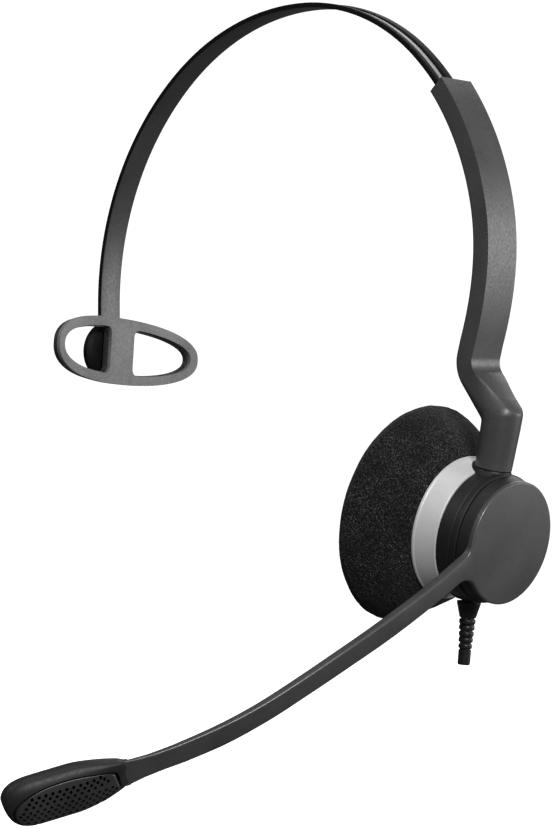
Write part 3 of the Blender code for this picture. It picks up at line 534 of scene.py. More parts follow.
def about_slide(radius, angle):
    return slide_centre() + spoke(angle) * radius


def band_line():
    """Points on the band's outer surface with their outward direction, from pad to cup."""
    side = crown_centre(CROWN_RADIUS_PAD) - spoke(-CROWN_TURN_PAD) * (SIDE_RADIUS_PAD - CROWN_RADIUS_PAD)
    end_turn = CROWN_TURN_PAD + SIDE_TURN_PAD
    arcs = ((side, SIDE_RADIUS_PAD, spread(-end_turn, -CROWN_TURN_PAD, 40)[:-1]),
            (crown_centre(CROWN_RADIUS_PAD), CROWN_RADIUS_PAD, spread(-CROWN_TURN_PAD, 0.0, 32)),
            (crown_centre(CROWN_RADIUS_CUP), CROWN_RADIUS_CUP, spread(0.0, CROWN_TURN_CUP, 32)[1:]),
            (slide_centre(), SLIDE_RADIUS, spread(CROWN_TURN_CUP, CROWN_TURN_CUP + SLIDE_TURN, 44)[1:]))
    line = [(centre + spoke(a) * radius, spoke(a)) for centre, radius, turns in arcs for a in turns]
    tail = (line[0][0] - UP * BAND_TAIL, line[0][1])
    return [tail] + line


def band_section():
    """Two raised rims on the outer face with a sunk strip and a groove between, and a plain inner face."""
    half = BAND_WIDTH / 2
    corner = 0.25 * MM
    strip = -0.35 * MM
    groove = -0.75 * MM
    outline = [(0.0, -half), (0.0, STRIP_FRONT - 0.12 * MM), (strip, STRIP_FRONT), (strip, STRIP_REAR),
               (groove, STRIP_REAR + 0.1 * MM), (groove, STRIP_REAR + 0.75 * MM),
               (-0.1 * MM, STRIP_REAR + 0.9 * MM), (0.0, half), (-BAND_THICK, half), (-BAND_THICK, -half)]
    points = []
    count = len(outline)
    for i, here in enumerate(outline):
        before = Vector(outline[i - 1])
        after = Vector(outline[(i + 1) % count])
        here = Vector(here)
        a = (before - here).normalized() * min(corner, (before - here).length * 0.45)
        b = (after - here).normalized() * min(corner, (after - here).length * 0.45)
        for step in range(4):
            t = step / 3
            points.append((here + a).lerp(here, t).lerp(here.lerp(here + b, t), t))
    return points


def make_headband(finish):
    section = band_section()
    rings = [[point + outward * a + SIDEWAYS * b for a, b in section] for point, outward in band_line()]
    band = skin("headband", rings, sharp=50.0)
    boolean(band, rod("stud_hole", 1.8 * MM, *pad_axis(8 * MM)), sharp=50.0)
    paint(band, finish["band"], finish["strip"], finish["black"])
    for face in band.data.polygons:
        facing = face.normal.dot(outward_of_band(face.center))
        if facing > -0.2:
            sunk = STRIP_FRONT < face.center.y < STRIP_REAR and facing > 0.6
            face.material_index = 1 if sunk else 2
    place(band, "headband", ["headband_spring"], "grey_plastic")


def outward_of_band(point):
    """Roughly outward from the middle of the wearer's head."""
    return (point - Vector((0.0, point.y, -0.075))).normalized()


def paint(obj, *materials):
    obj.data.materials.clear()
    for material in materials:
        obj.data.materials.append(material)


def place(obj, body, replaced=(), slot=None):
    """Rides a piece on its body and hides the CAD nodes that it stands for."""
    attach(obj, body)
    if replaced:
        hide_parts(*replaced)
    return obj


def make_hub(finish):
    """The round hub on the band's far end: a domed shell and a shallow inner shell."""
    seam_x = -75.3 * MM
    frame = Matrix(((0, 0, -1, seam_x), (1, 0, 0, 0), (0, -1, 0, PAD_Z), (0, 0, 0, 1)))
    outer = rounded([(0, 5.0), (3.0, 4.75), (5.6, 3.9), (7.6, 2.4), (8.8, 0.15), (7.7, 0.15),
                     (6.6, 1.7), (4.8, 3.0), (2.6, 3.8), (0, 4.0)], 1.2, 6)
    inner = rounded([(8.8, -0.15), (7.9, -1.1), (6.2, -1.75), (4.2, -2.05), (2.1, -2.15),
                     (2.1, -1.45), (4.9, -1.4), (6.2, -1.0), (7.6, -0.15)], 0.5, 4)
    mouth = Matrix.Translation((-74.9 * MM, 0, PAD_Z + 7.6 * MM))
    half_mouth = BAND_WIDTH / 2 + GAP
    half_deep = 1.3 * MM
    outline = [(-half_deep, -half_mouth), (half_deep, -half_mouth),
               (half_deep, half_mouth), (-half_deep, half_mouth)]
    for name, shape in (("hub_outer_shell", outer), ("hub_inner_shell", inner)):
        shell = turned(name + "_piece", shape, frame, 72)
        boolean(shell, prism("mouth", outline, -6 * MM, 6 * MM, mouth))
        paint(shell, finish["black"])
        place(shell, "headband", [name], "black_plastic")


# ---- temple pad

def pad_frame():
    base = Matrix(((0, 0, 1, 0), (1, 0, 0, 0), (0, 1, 0, PAD_Z), (0, 0, 0, 1)))
    return base @ Matrix.Rotation(-PAD_TURN, 4, "Z")


def pad_axis(reach):
    """Two points either side of the pad's ball, along the world's X."""
    return [Vector((BALL_X + side * reach, 0, PAD_Z)) for side in (-1, 1)]


def pad_window(side, shrink=0.0):
    """Outline of the pad's front (-1) or rear (+1) window: a half oval with rounded corners."""
    rim = PAD_RIM + shrink
    inner = oval(PAD_LENGTH / 2 - rim, PAD_HEIGHT / 2 - rim, 2.3, 96)
    web = PAD_WEB / 2 + shrink
    rounding = 1.9 * MM
    points = [(abs(u), v) for u, v in inner if u > web + rounding]
    points.sort(key=lambda p: atan2(p[1], p[0]))
    top = points[-1][1]
    for start, centre in ((pi / 2, top - rounding), (pi, rounding - top)):
        for step in range(9):
            angle = start + step * pi / 16
            points.append((web + rounding + rounding * cos(angle), centre + rounding * sin(angle)))
    half = PAD_LENGTH / 2
    return trimmed([(side * u, v * (1 - PAD_TAPER * side * u / half)) for u, v in points])


def trimmed(outline):
    """The outline with its front and rear drawn in."""
    return [(u * (PAD_FRONT_SHARE if u < 0 else PAD_REAR_SHARE), v) for u, v in outline]


def curved_slab(name, face_x, thick):
    """A slab wrapped about the head, lofted along the pad's length."""
    frame = pad_frame()
    rings = []
    for i in range(65):
        u = (i / 32 - 1) * 0.6 * PAD_LENGTH
        rise = face_x + PAD_CURVE - sqrt(PAD_CURVE ** 2 - u ** 2)
        v = 0.75 * PAD_HEIGHT
        rings.append([frame @ Vector(p) for p in ((u, -v, rise), (u, v, rise), (u, v, rise - thick),
                                                  (u, -v, rise - thick))])
    return skin(name, rings)


def make_temple_pad(finish):
    """A soft ribbonlike loop on a darker frame, both with rounded edges."""
    frame = pad_frame()
    through = (-90 * MM, -50 * MM)  # from outside the pad to inside it, along the world's X
    for name, face_x, thick, inset, edge, material, slot in (
            ("temple_pad_cushion", PAD_FACE_X, 1.2 * MM, 0.0, 0.42 * MM, "pad", "grey_rubber"),
            ("temple_pad_frame", PAD_FACE_X - 1.3 * MM, 1.5 * MM, 0.35 * MM, 0.3 * MM, "pad_back",
             "dark_plastic")):
        pad = curved_slab(name + "_piece", face_x, thick)
        outline = trimmed(oval(PAD_LENGTH / 2 - inset, PAD_HEIGHT / 2 - inset, 2.4, 144, PAD_TAPER))
        boolean(pad, prism("outline", outline, *through, frame), "INTERSECT")
        for side in (-1, 1):
            boolean(pad, prism("window", pad_window(side, inset), *through, frame))
        soften(pad, edge, 4, 40.0)
        if name == "temple_pad_frame":
            boolean(pad, rod("socket", 1.85 * MM, *pad_axis(3.0 * MM)))
        paint(pad, finish[material])
        place(pad, "temple_pad", [name], slot)


# ---- arm

def bend(corner, before, after, radius, steps):
    """(point, direction, turned angle, whole angle) along a round bend that replaces a corner."""
    cross = before.cross(after).y
    turn = before.angle(after)
    reach = radius * sin(turn / 2) / cos(turn / 2)
    side = SIDEWAYS.cross(before) * (1 if cross > 0 else -1)
    centre = corner - before * reach + side * radius
    path = []
    for i in range(steps + 1):
        angle = turn * i / steps
        path.append((centre - side * (radius * cos(angle)) + before * (radius * sin(angle)),
                     before * cos(angle) + side * sin(angle), angle, turn))
    return path


def cup_axes():
    """The cup's upward and outward directions."""
    return spoke(CUP_TILT), Vector((cos(CUP_TILT), 0.0, -sin(CUP_TILT)))


def neck_axis():
    """The neck tube's axis at the cup's level, and its upward direction."""
    up, outward = cup_axes()
    return CUP_ORIGIN - outward * (NECK_DEPTH * MM), up


def arm_ring(point, outward, inner, outer, half_width, corner):
    return [point + outward * a + SIDEWAYS * b
            for a, b in box_section(-inner, outer, half_width, corner)]


def arm_bow(angle):
    """How far the moulding bows inward of its arc before the jog."""
    return ARM_BOW * ease((angle - radians(80)) / radians(28))


def arm_stations():
    """Angles of the sections: the body and its outer face share them, so their edges meet."""
    return spread(ARM_MOUTH, ARM_BEND_START, 48)


def arm_jog():
    """The slope from the jog to the elbow, and the path round the jog."""
    start = Vector((cos(ARM_BEND_START), 0, -sin(ARM_BEND_START)))
    slope = (ARM_ELBOW_CORNER - ARM_JOG_CORNER).normalized()
    return slope, bend(ARM_JOG_CORNER, start, slope, ARM_JOG_RADIUS, 14)


def arm_body():
    """The arm as a loft: a flat bar, proud of its outer face, that turns into the round neck tube."""
    middle = (ARM_OUTER_RADIUS + ARM_INNER_RADIUS) / 2
    half = ARM_HALF_THICK
    half_width = ARM_WIDTH / 2
    proud = 1.2 * MM
    corner = 0.9 * MM
    rings = []
    for angle in arm_stations():
        point = about_slide(middle - arm_bow(angle), angle)
        rings.append(arm_ring(point, spoke(angle), half, half + proud, half_width, corner))
    # The mouth is arched across its width, slants to the rear, and is cut back a little on its inner side.
    first = []
    for point in rings[0]:
        across = (point.y + half_width) / ARM_WIDTH
        back = -1.5 * MM * max(0.0, sin(pi * across)) ** 0.7 + 0.6 * MM * across
        inset = (middle - (point - slide_centre()).length) / half
        back += 0.75 * MM * ease((inset - 0.25) / 0.5)
        first.append(slide_centre() + Matrix.Rotation(back / middle, 3, "Y") @ (point - slide_centre()))
    rings[0] = first
    foot, up = neck_axis()
    tube_end = foot + up * (NECK_SEAM * MM + GAP)
    slope, jog = arm_jog()
    elbow = bend(ARM_ELBOW_CORNER, slope, -up, ARM_ELBOW_RADIUS, 18)
    straight = [(jog[-1][0].lerp(elbow[0][0], t), slope, 0.0, 1.0) for t in spread(0, 1, 8)[1:-1]]
    path = jog + straight + elbow
    length = [0.0]
    for one, other in zip(path, path[1:]):
        length.append(length[-1] + (other[0] - one[0]).length)
    round_from = 0.15
    round_to = 0.80
    for index, (point, direction, angle, turn) in enumerate(path):
        blend = ease((length[index] / length[-1] - round_from) / (round_to - round_from))
        outward = -SIDEWAYS.cross(direction)
        radius = TUBE_TOP_RADIUS
        outer = half + proud + (radius - half - proud) * blend
        if index >= len(jog) + len(straight):
            reach = ARM_ELBOW_RADIUS + radius
            outer = min(reach / cos(min(angle, turn - angle)) - ARM_ELBOW_RADIUS, radius + 0.7 * MM)
        rings.append(arm_ring(point, outward, half + (radius - half) * blend, outer,
                              half_width + (radius - half_width) * blend,
                              corner + (radius - corner) * blend))
    outward = SIDEWAYS.cross(up)
    start = elbow[-1][0]
    for t in spread(0, 1, 8)[1:]:
        radius = TUBE_TOP_RADIUS + (TUBE_END_RADIUS - TUBE_TOP_RADIUS) * t
        rings.append(arm_ring(start.lerp(tube_end, t), outward, radius, radius, radius, radius))
    return skin("arm", rings, sharp=50.0)


def arm_outer_face():
    """Everything inside the arm's outer face: its side view, swept across the arm's width."""
    slope, jog = arm_jog()
    before = [ARM_MOUTH - radians(5), ARM_MOUTH - radians(2.5)]
    outline = [about_slide(ARM_OUTER_RADIUS - arm_bow(a), a) for a in before + arm_stations()]
    outline += [point - SIDEWAYS.cross(direction) * ARM_HALF_THICK for point, direction, _, _ in jog]
    elbow = ARM_ELBOW_CORNER - SIDEWAYS.cross(slope) * ELBOW_FACE_LIFT
    # Past the elbow the outline only has to close, well clear of the arm.
    outline.append(elbow + (elbow - outline[-1]).normalized() * 26 * MM)
    outline.append(Vector((30 * MM, 0, -150 * MM)))
    outline.append(Vector((20 * MM, 0, -20 * MM)))
    aside = SIDEWAYS * (ARM_WIDTH * 0.7)
    return skin("outer_face", [[p - aside for p in outline], [p + aside for p in outline]])


def slide_bar(name, inner, outer, width, start, end, steps=40):
    """A curved bar of rectangular section about the slide centre."""
    rings = []
    for angle in spread(start, end, steps):
        rings.append([about_slide(radius, angle) + SIDEWAYS * side
                      for radius, side in ((inner, -width / 2), (outer, -width / 2), (outer, width / 2),
                                           (inner, width / 2))])
    return skin(name, rings)


def make_arm(finish):
    arm = arm_body()
    boolean(arm, arm_outer_face(), "INTERSECT", 30.0)
    paint(arm, finish["arm"], finish["arm_edge_painted_highlight"])
    # The edge roundings take the lighter plastic: a painted highlight along the arm's crease and edges.
    soften(arm, 0.28 * MM, 3, 36.0, slot=1)
    slot_inner = SLIDE_RADIUS - BAND_THICK - GAP
    slot_outer = SLIDE_RADIUS + GAP
    boolean(arm, slide_bar("slot", slot_inner, slot_outer, BAND_WIDTH + 2 * GAP,
                           ARM_MOUTH - radians(6), SLOT_END))
    boolean(arm, slide_bar("recess", ARM_INNER_RADIUS - 2 * MM, slot_inner + 0.2 * MM, COVER_WIDTH + 2 * GAP,
                           COVER_START - radians(0.3), COVER_END + radians(0.3)))
    foot, up = neck_axis()
    seam = foot + up * (NECK_SEAM * MM)
    boolean(arm, rod("stem_bore", STEM_RADIUS + GAP, seam - up * 2 * MM, seam + up * 12 * MM), sharp=40.0)
    place(arm, "arm", ["arm_sleeve"], "dark_plastic")


# ---- ear cup

def cup_frame():
    up, outward = cup_axes()
    return frame_of(SIDEWAYS, up, outward, CUP_ORIGIN)


def in_cup(x, y, z):
    """World place of a point in millimetres in the cup's frame."""
    return cup_frame() @ (Vector((x, y, z)) * MM)


def cup_spoke_frame(side, depth):
    """A frame on the cup's axis at a depth, whose local Z points up (+1) or down (-1) in the cup."""
    middle = in_cup(0, 0, -depth)
    return frame_along(middle, in_cup(0, side, -depth) - middle)


def cup_drill(name, radius, start, end, depth, x=0.0, sides=24):
    """A rod up or down the cup, from one height to another in mm."""
    return rod(name, radius, in_cup(x, start, -depth), in_cup(x, end, -depth), sides)


def make_housing(finish):
    """Black housing with a fine seam, a collar that flares out of it, and the cord's boss."""
    outline = [(6.3, -4.9), (16.85, -4.9), (17.1, -5.1), (17.1, -6.7), (16.93, -6.8), (16.93, -7.0),
               (17.1, -7.1), (17.1, -11.0), (16.9, -11.15), (15.5, -11.1), (15.5, -18.0), (14.1, -18.0),
               (14.1, -10.2), (15.5, -8.8), (15.5, -6.5), (6.3, -6.5), (6.3, -4.9)]
    housing = turned("cup_housing_piece", rounded(outline, 0.25, 3)[:-1], cup_frame(), 144)
    collar = [(0, 12.6), (6.6, 12.6), (6.2, 15.6), (5.5, 16.5), (5.0, 16.85), (4.85, 17.1),
              (4.75, NECK_SEAM), (0, NECK_SEAM)]
    boolean(housing, turned("collar", collar, cup_spoke_frame(1, NECK_DEPTH), 72), "UNION", 40.0)
    boss = [(0, 12.0), (5.6, 12.0), (5.6, 15.6), (5.2, 16.6), (4.4, 17.1), (3.6, 17.25), (0, 17.25)]
    boolean(housing, turned("boss", boss, cup_spoke_frame(-1, CORD_DEPTH), 48), "UNION", 40.0)
    boolean(housing, cup_drill("neck_bore", STEM_RADIUS + GAP, 9.0, 20.0, NECK_DEPTH))
    boolean(housing, cup_drill("cord_bore", 2.9 * MM, -10.0, -20.0, CORD_DEPTH), sharp=40.0)
    paint(housing, finish["housing"])
    place(housing, "ear_cup", ["cup_housing"], "black_plastic")


def make_bright_ring(finish):
    """Satin silver cone with a thin lip on its outer rim, notched round the neck and the cord."""
    outline = [(16.0, -11.3), (17.05, -11.3), (17.3, -11.5), (17.35, -11.8), (18.75, -16.95), (19.0, -17.2),
               (19.05, -17.7), (18.8, -18.0), (16.0, -18.0), (16.0, -11.3)]
    ring = turned("bright_ring_piece", rounded(outline, 0.16, 3)[:-1], cup_frame(), 192)
    boolean(ring, cup_drill("neck_notch", 5.7 * MM, 12.0, 24.0, NECK_DEPTH, sides=64))
    boolean(ring, cup_drill("wide_notch", 5.0 * MM, -12.0, -24.0, 11.5, x=-5.0, sides=64))
    boolean(ring, cup_drill("cord_notch", 5.95 * MM, -12.0, -24.0, CORD_DEPTH, sides=64), sharp=40.0)
    paint(ring, finish["silver"])
    place(ring, "ear_cup", ["bright_ring"], "satin_silver")


def foam_radius_and_depth(t):
    """A smooth loop at t from 0 to 1, in mm: back dish, rim, flat face, mouth and inner pocket."""
    edge = CUSHION_RADIUS
    outline = [(19.4, -18.3), (24.4, -22.9), (27.3, -27.2), (edge - 0.35, -30.6), (edge, -32.2),
               (edge - 0.5, -33.7), (edge - 1.9, -35.1), (24.8, -36.0), (19.0, -36.25), (14.2, -35.9),
               (11.3, -34.8), (10.4, -32.4), (10.4, -28.2), (15.9, -28.0), (15.9, -24.8), (22.4, -24.8),
               (23.2, -23.8), (22.4, -22.6), (19.0, -18.9)]
    count = len(outline)
    place_at = t * count
    index = int(place_at) % count
    share = place_at - int(place_at)
    p0, p1, p2, p3 = (Vector(outline[(index + k) % count]) for k in (-1, 0, 1, 2))
    return (p1 * 2 + (p2 - p0) * share + (p0 * 2 - p1 * 5 + p2 * 4 - p3) * share ** 2
            + (p1 * 3 - p0 - p2 * 3 + p3) * share ** 3) / 2


def make_cushion(finish):
    """Foam cushion: a dish that is stretched over the cup's flange, with a lumpy cellular skin."""
    frame = cup_frame()
    rings = []
    for t in spread(0.0, 1.0, 240)[:-1]:
        radius, depth = foam_radius_and_depth(t)
        outside = ease((radius - 18.5) / 3.0)
        ring = []
        for angle in angles(400):
            slack = exp(-((angle - CUSHION_SLACK_AT) / CUSHION_SLACK_SPREAD) ** 2)
            r = radius - CUSHION_SLACK * slack * ease((radius - 19.0) / 8.5)
            local = Vector((r * cos(angle), r * sin(angle), depth))
            soft = noise.noise(local * 0.16) * 0.28 + noise.noise(local * 0.5 + Vector((7, 3, 1))) * 0.10
            cells = noise.noise(local * 2.1 + Vector((2, 9, 4))) * 0.09
            away = Vector((cos(angle), sin(angle), 0.0)) * 0.8
            local += (away + Vector((0, 0, 0.3))) * ((soft + cells - 0.12) * outside)
            ring.append(frame @ (local * MM))
        rings.append(ring)
    foam = skin("foam_cushion", rings, loop=True, sharp=180.0)
    paint(foam, finish["foam"])
    place(foam, "ear_cup", ["ear_cushion"], "black_foam")


def relief_radius(z, angle):
    """Strain relief outline: a cone, five ribs joined on alternate sides, and a plain end."""
    if z < 0.7:
        return 3.15
    if z < 4.5:
        return 3.15 - 1.0 * (z - 0.7) / 3.8
    ribs_end = 12.7
    if z < ribs_end:
        step = (z - 4.5) / 1.62
        rib = int(step)
        share = step - rib
        core = 1.35
        radius = 2.15 - 0.09 * rib
        if share > 0.3:
            return radius - 0.12 * abs((share - 0.65) / 0.35) ** 3
        bridge = cos(angle * 2 + (rib % 2) * pi)
        return core + (radius - 0.1 - core) * ease((bridge - 0.3) / 0.4)
    if z < 13.0:
        return 1.4
    return 1.66 - 0.12 * max(0.0, (z - 16.4) / 0.5)


def make_strain_relief(finish):
    lean = radians(6.3)
    frame = cup_frame() @ Matrix.Translation(Vector((0, -17.65, -CORD_DEPTH)) * MM)
    frame = frame @ Matrix.Rotation(-lean, 4, "X") @ Matrix.Rotation(pi / 2, 4, "X")
    foot = 0.35
    end = 16.9

    def ring(z, radius=None):
        around = [(radius or relief_radius(z, a), a) for a in angles(64)]
        return [frame @ (Vector((r * cos(a), r * sin(a), z)) * MM) for r, a in around]

    rings = [ring(-6.3, 3.4), ring(-5.5, 3.4), ring(-5.5, 1.9), ring(foot, 1.9)]
    rings += [ring(z) for z in spread(foot, end, 331)]
    rings += [ring(end, 0.95), ring(-6.3, 0.95)]
    relief = skin("strain_relief_piece", rings, loop=True, sharp=40.0)
    paint(relief, finish["relief"])
    place(relief, "ear_cup", ["strain_relief"], "black_plastic")


# ---- boom

def boom_rise(s):
    dip = BOOM_DIP * exp(-((s - BOOM_DIP_AT) / BOOM_DIP_SPREAD) ** 2)
    return BOOM_OFFSET + max(0.0, s - BOOM_LIFT_START) ** 2 / (2 * BOOM_LIFT_RADIUS) - dip


def boom_inward(s):
    return max(0.0, s - BOOM_INWARD_START) ** 2 / (2 * BOOM_INWARD_RADIUS)


def boom_point(s, lift=0.0, depth=0.0):
    """Cup-frame point: s along the bar, lift across it, depth inward of its outer face."""
    return (BOOM_ALONG * s + BOOM_ACROSS * (boom_rise(s) + lift)
            + Vector((0, 0, -boom_inward(s) - depth)))


def boom_axes(s):
    """The boom's direction, its height axis and its outward axis at s, in the cup's frame."""
    step = 0.5 * MM
    along = (boom_point(s + step) - boom_point(s - step)).normalized()
    height = (BOOM_ACROSS - along * BOOM_ACROSS.dot(along)).normalized()
    return along, height, height.cross(along)


# How far the moulding stands off the CAD's plain bar: place along it, upper edge, lower edge, in mm.
BOOM_FULLER = ((16, 0.45, -0.35), (30, 0.75, -0.1), (46, 1.1, 0.0), (60, 1.25, 0.2), (75, 1.2, 0.2),
               (86, 1.05, -0.05), (98, 0.85, -0.5), (107, 0.85, -0.4), (113, 1.1, -0.12), (117, 1.6, -0.2),
               (120, 2.2, -0.6), (124, 2.6, -1.2))


def between(table, at):
    """Smooth reading of a table of (place, value, value) rows."""
    for (a, *before), (b, *after) in zip(table, table[1:]):
        if at <= b:
            t = ease((at - a) / (b - a)) * 0.4 + min(1.0, max(0.0, (at - a) / (b - a))) * 0.6
            return [one + (other - one) * t for one, other in zip(before, after)]
    return list(table[-1][1:])


def boom_edges(s):
    """Lift of the bar's upper and lower edge at s."""
    above, below = between(BOOM_FULLER, s / MM)
    return boom_rise(s) + BOOM_HEIGHT / 2 + above * MM, boom_rise(s) - BOOM_HEIGHT / 2 + below * MM


def boom_fillet(side, radius):
    """An arc tangent to the bar's upper (+1) or lower (-1) edge and to the disc, and its angle there."""
    reach = boom_edges(BOOM_BAR_START)[0 if side > 0 else 1] + side * radius
    centre = sqrt((BOOM_DISC_RADIUS + radius) ** 2 - reach ** 2)
    touch = atan2(reach, centre)
    arc = [(centre + radius * cos(a), reach + radius * sin(a))
           for a in spread(-side * pi / 2, touch - side * pi, 12)]
    return arc, touch


def boom_place(s, lift, depth):
    """World place of a point of the plate: along it, across it, and inward at right angles to it."""
    tilt = max(0.0, s - BOOM_INWARD_START) / BOOM_INWARD_RADIUS
    base = BOOM_ALONG * s + BOOM_ACROSS * lift + Vector((0, 0, -boom_inward(s)))
    inward = BOOM_ALONG * sin(tilt) - UP * cos(tilt)
    return cup_frame() @ (base + inward * depth)


def boom_plate():
    """Disc and bar in one plate with rounded edges: the outline of its outer face, given depth."""
    stations = spread(BOOM_END + 1.6 * MM, BOOM_BAR_START, 90)
    top = [(s, boom_edges(s)[0]) for s in stations]
    bottom = [(s, boom_edges(s)[1]) for s in reversed(stations)]
    top_arc, top_touch = boom_fillet(1, 4.2 * MM)
    bottom_arc, bottom_touch = boom_fillet(-1, 5.5 * MM)
    turn = tau - (top_touch - bottom_touch)
    around = [(BOOM_DISC_RADIUS * cos(a), BOOM_DISC_RADIUS * sin(a))
              for a in (top_touch + turn * i / 120 for i in range(1, 120))]
    outline = top + top_arc + around + list(reversed(bottom_arc)) + bottom
    bar_count = len(stations)
    count = len(outline)

    normals = []
    for i in range(count):
        edge = (Vector(outline[(i + 1) % count]) - Vector(outline[i - 1])).normalized()
        normals.append(Vector((edge.y, -edge.x)))

    def thickness(i):
        """Full on the bar, thinner on the disc, and a slope along each fillet."""
        share = min(i - bar_count, count - bar_count - i) / len(top_arc)
        return BOOM_THICK + (BOOM_DISC_THICK - BOOM_THICK) * min(1.0, max(0.0, share))

    def inset_place(i, inset, depth):
        return boom_place(outline[i][0] - normals[i].x * inset, outline[i][1] - normals[i].y * inset, depth)

    edge_radius = 0.55 * MM
    fall = [(edge_radius * (1 - sin(a)), edge_radius * (1 - cos(a))) for a in spread(0, pi / 2, 6)]
    rings = [[inset_place(i, inset, drop) for i in range(count)] for inset, drop in fall]
    rings += [[inset_place(i, inset, thickness(i) - drop) for i in range(count)]
              for inset, drop in reversed(fall)]
    # Each face is a strip of quads along the bar, and one face over the disc.
    caps = [(i, i + 1, count - 2 - i, count - 1 - i) for i in range(bar_count - 1)]
    caps.append(range(bar_count - 1, count - bar_count + 1))
    return skin("boom", rings, sharp=50.0, caps=caps)


def make_boom(finish):
    """The plate, then the disc's skirt and its hollow boss behind it."""
    boom = boom_plate()
    frame = cup_frame()
    skirt = rounded([(14.9, -1.3), (15.9, -1.3), (16.25, -1.6), (16.8, -4.5), (16.7, -4.75), (14.9, -4.75),
                     (14.9, -1.3)], 0.15, 3)[:-1]
    skirt_piece = turned("boom_disc_skirt", skirt, frame, 144)
    boss = turned("boom_disc_boss", [(4.2, -1.4), (6.0, -1.4), (6.0, -7.0), (5.3, -7.0), (5.3, -8.3),
                                     (5.9, -8.5), (5.9, -9.0), (4.2, -9.0)], frame, 48)
    paint(boom, finish["boom"], finish["boom_edge"])
    outward = frame.to_3x3() @ UP
    # Faces of the edge rounding take the lighter plastic: a painted highlight along the plate's edges.
    for face in boom.data.polygons:
        if 0.45 < face.normal.dot(outward) < 0.85:
            face.material_index = 1
    place(boom, "boom", ["boom_arm"], "dark_plastic")
    for piece in (skirt_piece, boss):
        paint(piece, finish["housing"])
        place(piece, "boom", slot="dark_plastic")


def pod_frame():
    """Microphone pod frame: local X along the pod, local Y down across it, local Z outward."""
    along, height, outward = boom_axes(POD_AIM)
    root = boom_point(BOOM_END + 2 * GAP, 0.0, BOOM_THICK / 2)
    return cup_frame() @ frame_of(along, -height, outward, root)


POD_FRAME = pod_frame()


def pod_section(share):
    """(half thickness, half height, shift down) in mm, and the swell, at a share of the pod's length."""
    swell = sin(min(1.0, max(0.0, share / 0.46)) * pi / 2) ** 1.1
    end = sqrt(max(0.0, 1 - max(0.0, (share - 0.70) / 0.31) ** 3.35))
    half_high = (POD_ROOT_HALF + (POD_HEIGHT / 2 + 0.42 - POD_ROOT_HALF) * swell) * end
    half_thick = (1.36 + (POD_THICK / 2 - 1.36) * swell) * (0.35 + 0.65 * end)
    drift = POD_ROOT_DRIFT * (1 - swell) ** 1.5 - 0.15 * swell - 2.0 * (1 - end)
    return half_thick, half_high, drift, swell


def pod_surface(share, angle, proud=0.0):
    """A point on the pod, with the angle turned from outward (0) towards down (a quarter turn)."""
    half_thick, half_high, drift, swell = pod_section(share)
    power = 2.4 + 5.0 * (1 - swell) ** 2
    z = half_thick * squarer(cos(angle), power)
    y = half_high * squarer(sin(angle), power)
    reach = sqrt(y * y + z * z) or 1.0
    y += proud * y / reach
    z += proud * z / reach
    return POD_FRAME @ (Vector((share * POD_LENGTH, y + drift, z - 0.6 * swell)) * MM)


def pod_patch(name, size, top, bottom, count=96):
    """A domed oval plate that follows the pod's surface, from bottom to top mm above it."""
    levels = [(size * k / 8, bottom) for k in range(1, 9)]
    levels += [(size, top - 0.3), (size * 0.988, top - 0.1), (size * 0.96, top)]
    levels += [(size * (1 - k / 14), top) for k in range(1, 14)]
    rings = []
    for scale, proud in levels:
        rings.append([pod_surface(GRILLE_SHARE + GRILLE_HALF_SHARE * scale * u,
                                  GRILLE_TURN + GRILLE_HALF_TURN * scale * v, proud)
                      for u, v in oval(1.0, 1.0, 2.25, count)])
    return skin(name, rings, sharp=50.0)


def make_pod(finish):
    """Club-shaped pod with a domed, perforated plate let into its lower outer side."""
    rings = []
    for share in [-0.03, -0.01] + spread(0.01, 0.66, 44):
        tucked = 0.5 * (1 - ease((share + 0.03) / 0.08))
        rings.append([pod_surface(share, a, -tucked) for a in angles(120)])
    for t in spread(0, pi / 2, 30)[1:-1]:
        rings.append([pod_surface(0.66 + 0.349 * sin(t), a) for a in angles(120)])
    pod = skin("mic_pod_piece", rings, sharp=60.0)
    boolean(pod, pod_patch("recess", 1.0, 2.0, -1.4), sharp=50.0)
    paint(pod, finish["pod"])
    place(pod, "boom", ["mic_pod"], "dark_plastic")

    plate = pod_patch("mic_grille_piece", 0.95, 0.10, -1.0)
    holes = []
    for row, degrees in enumerate((-19, -10, -2, 6, 14, 24, 38, 60)):
        for column in range(-8, 9):
            share = GRILLE_SHARE + (column + (row % 2) * 0.5) * HOLE_PITCH
            u = (share - GRILLE_SHARE) / GRILLE_HALF_SHARE
            v = (radians(degrees) - GRILLE_TURN) / GRILLE_HALF_TURN
            if abs(u) ** 2.3 + abs(v) ** 2.3 > 0.76:
                continue
            inside = pod_surface(share, radians(degrees), -1.6)
            holes.append(rod("hole", 0.42 * MM, inside, pod_surface(share, radians(degrees), 0.9), 12))
    drills = gathered("holes", holes)
    for piece in (plate, drills):
        paint(piece, finish["grille"], finish["black"])
    # The holes' walls take the black plastic: painted shade inside the holes.
    for face in drills.data.polygons:
        face.material_index = 1
    boolean(plate, drills, sharp=50.0, many=True)
    place(plate, "boom", ["mic_grille"], "black_plastic")


# ---- CAD nodes that stay

def finish_cad_nodes(finish, nodes):
    """Better materials for the CAD nodes whose shape already is right."""
    chosen = {
        "steel": ("band_end_stop", "hub_ball_stud", "slider_spring", "arm_cover_screw", "swivel_stem",
                  "baffle_screw_front", "baffle_screw_rear", "speaker_magnet", "boom_retaining_ring",
                  "mic_capsule"),
        "black": ("arm_inner_cover", "speaker_baffle", "speaker_frame"),
        "film": ("speaker_diaphragm",), "grille": ("speaker_grille",), "board": ("terminal_board",),
        "band": ("boom_detent_ring",), "copper": ("mic_lead",), "foam": ("mic_windscreen",),
    }
    for surface, names in chosen.items():
        for name in names:
            for slot in nodes[name].material_slots:
                slot.material = finish[surface]


# ---- stage

def stand(obj, target, away, distance):
    """Puts a camera or lamp at a distance from its target, facing it."""
    obj.location = target + away * distance
    obj.rotation_mode = "QUATERNION"
    obj.rotation_quaternion = away.to_track_quat("Z", "Y")


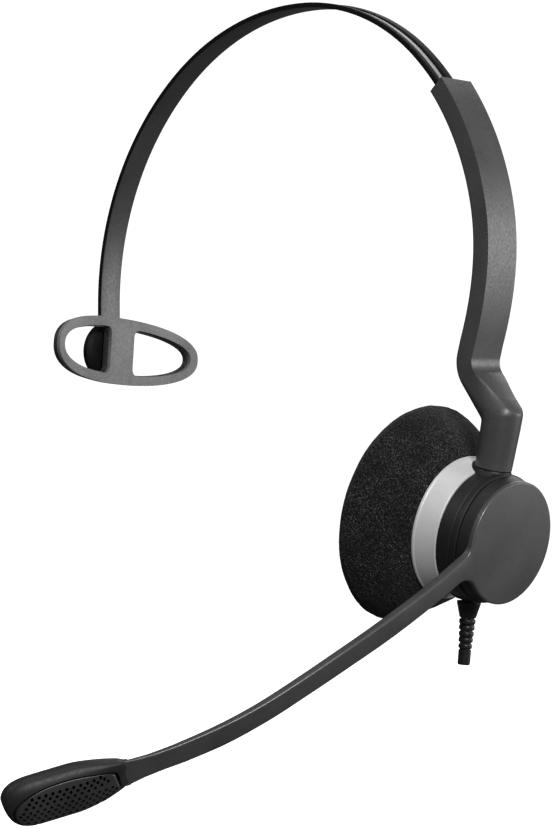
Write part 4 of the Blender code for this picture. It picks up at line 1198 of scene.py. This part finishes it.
def make_camera():
    camera = new_object("camera", bpy.data.cameras.new("camera"))
    stand(camera, CAMERA_AIM, compass(CAMERA_AZIMUTH, CAMERA_ELEVATION), CAMERA_DISTANCE)
    camera.data.lens = CAMERA_LENS
    camera.data.sensor_width = 36.0
    camera.data.clip_start = 0.05
    bpy.context.scene.camera = camera


def area_light(name, azimuth, elevation, distance, size, power, aim=Vector((0, 0, -0.1))):
    """A square soft box, placed round the headset by its compass angle and height."""
    data = bpy.data.lights.new(name, "AREA")
    data.shape = "SQUARE"
    data.size = size
    data.energy = power
    stand(new_object(name, data), aim, compass(radians(azimuth), radians(elevation)), distance)


def primitive(name, shape, **sizes):
    """An object from one of bmesh's ready shapes."""
    mesh = bpy.data.meshes.new(name)
    work = bmesh.new()
    shape(work, **sizes)
    work.to_mesh(mesh)
    work.free()
    return new_object(name, mesh)


def make_stage():
    """A pale floor and a white dome that are only seen, and soft boxes that do the lighting."""
    low = Matrix.Translation((0, 0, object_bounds()[0].z - FLOOR_DROP))
    floor = primitive("floor", bmesh.ops.create_grid, x_segments=8, y_segments=8, size=3.0, matrix=low)
    dome = primitive("dome", bmesh.ops.create_uvsphere, u_segments=48, v_segments=24, radius=4.0)
    white, _, shader, _ = shader_of("white_surround", 1.0, 0.0, 0.0)
    set_inputs(shader, {"Base Color": (0.9, 0.9, 0.9, 1.0), "Emission Color": (1.0, 1.0, 1.0, 1.0),
                        "Emission Strength": 1.0})
    for obj in (floor, dome):
        obj.data.materials.append(white)
        obj.visible_diffuse = False
        obj.visible_glossy = False
        obj.visible_shadow = False
    world = bpy.data.worlds.new("surround")
    world.use_nodes = True
    set_inputs(world.node_tree.nodes["Background"], {"Color": (1.0, 1.0, 1.0, 1.0), "Strength": 0.10})
    bpy.context.scene.world = world
    bpy.context.scene.view_settings.view_transform = "Standard"
    area_light("key", 60, 22, 1.0, 0.24, 9.0)
    area_light("sheen", 138, 4, 1.1, 0.50, 5.5)
    area_light("top", 30, 80, 1.0, 0.5, 2.2)
    area_light("left", -30, 42, 1.1, 0.25, 2.0)
    area_light("back", 200, 35, 1.2, 0.7, 4.0)


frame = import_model()
surfaces = make_materials()
make_camera()
make_headband(surfaces)
make_hub(surfaces)
make_temple_pad(surfaces)
make_arm(surfaces)
make_housing(surfaces)
make_bright_ring(surfaces)
make_cushion(surfaces)
make_strain_relief(surfaces)
make_boom(surfaces)
make_pod(surfaces)
finish_cad_nodes(surfaces, frame["nodes"])
make_stage()
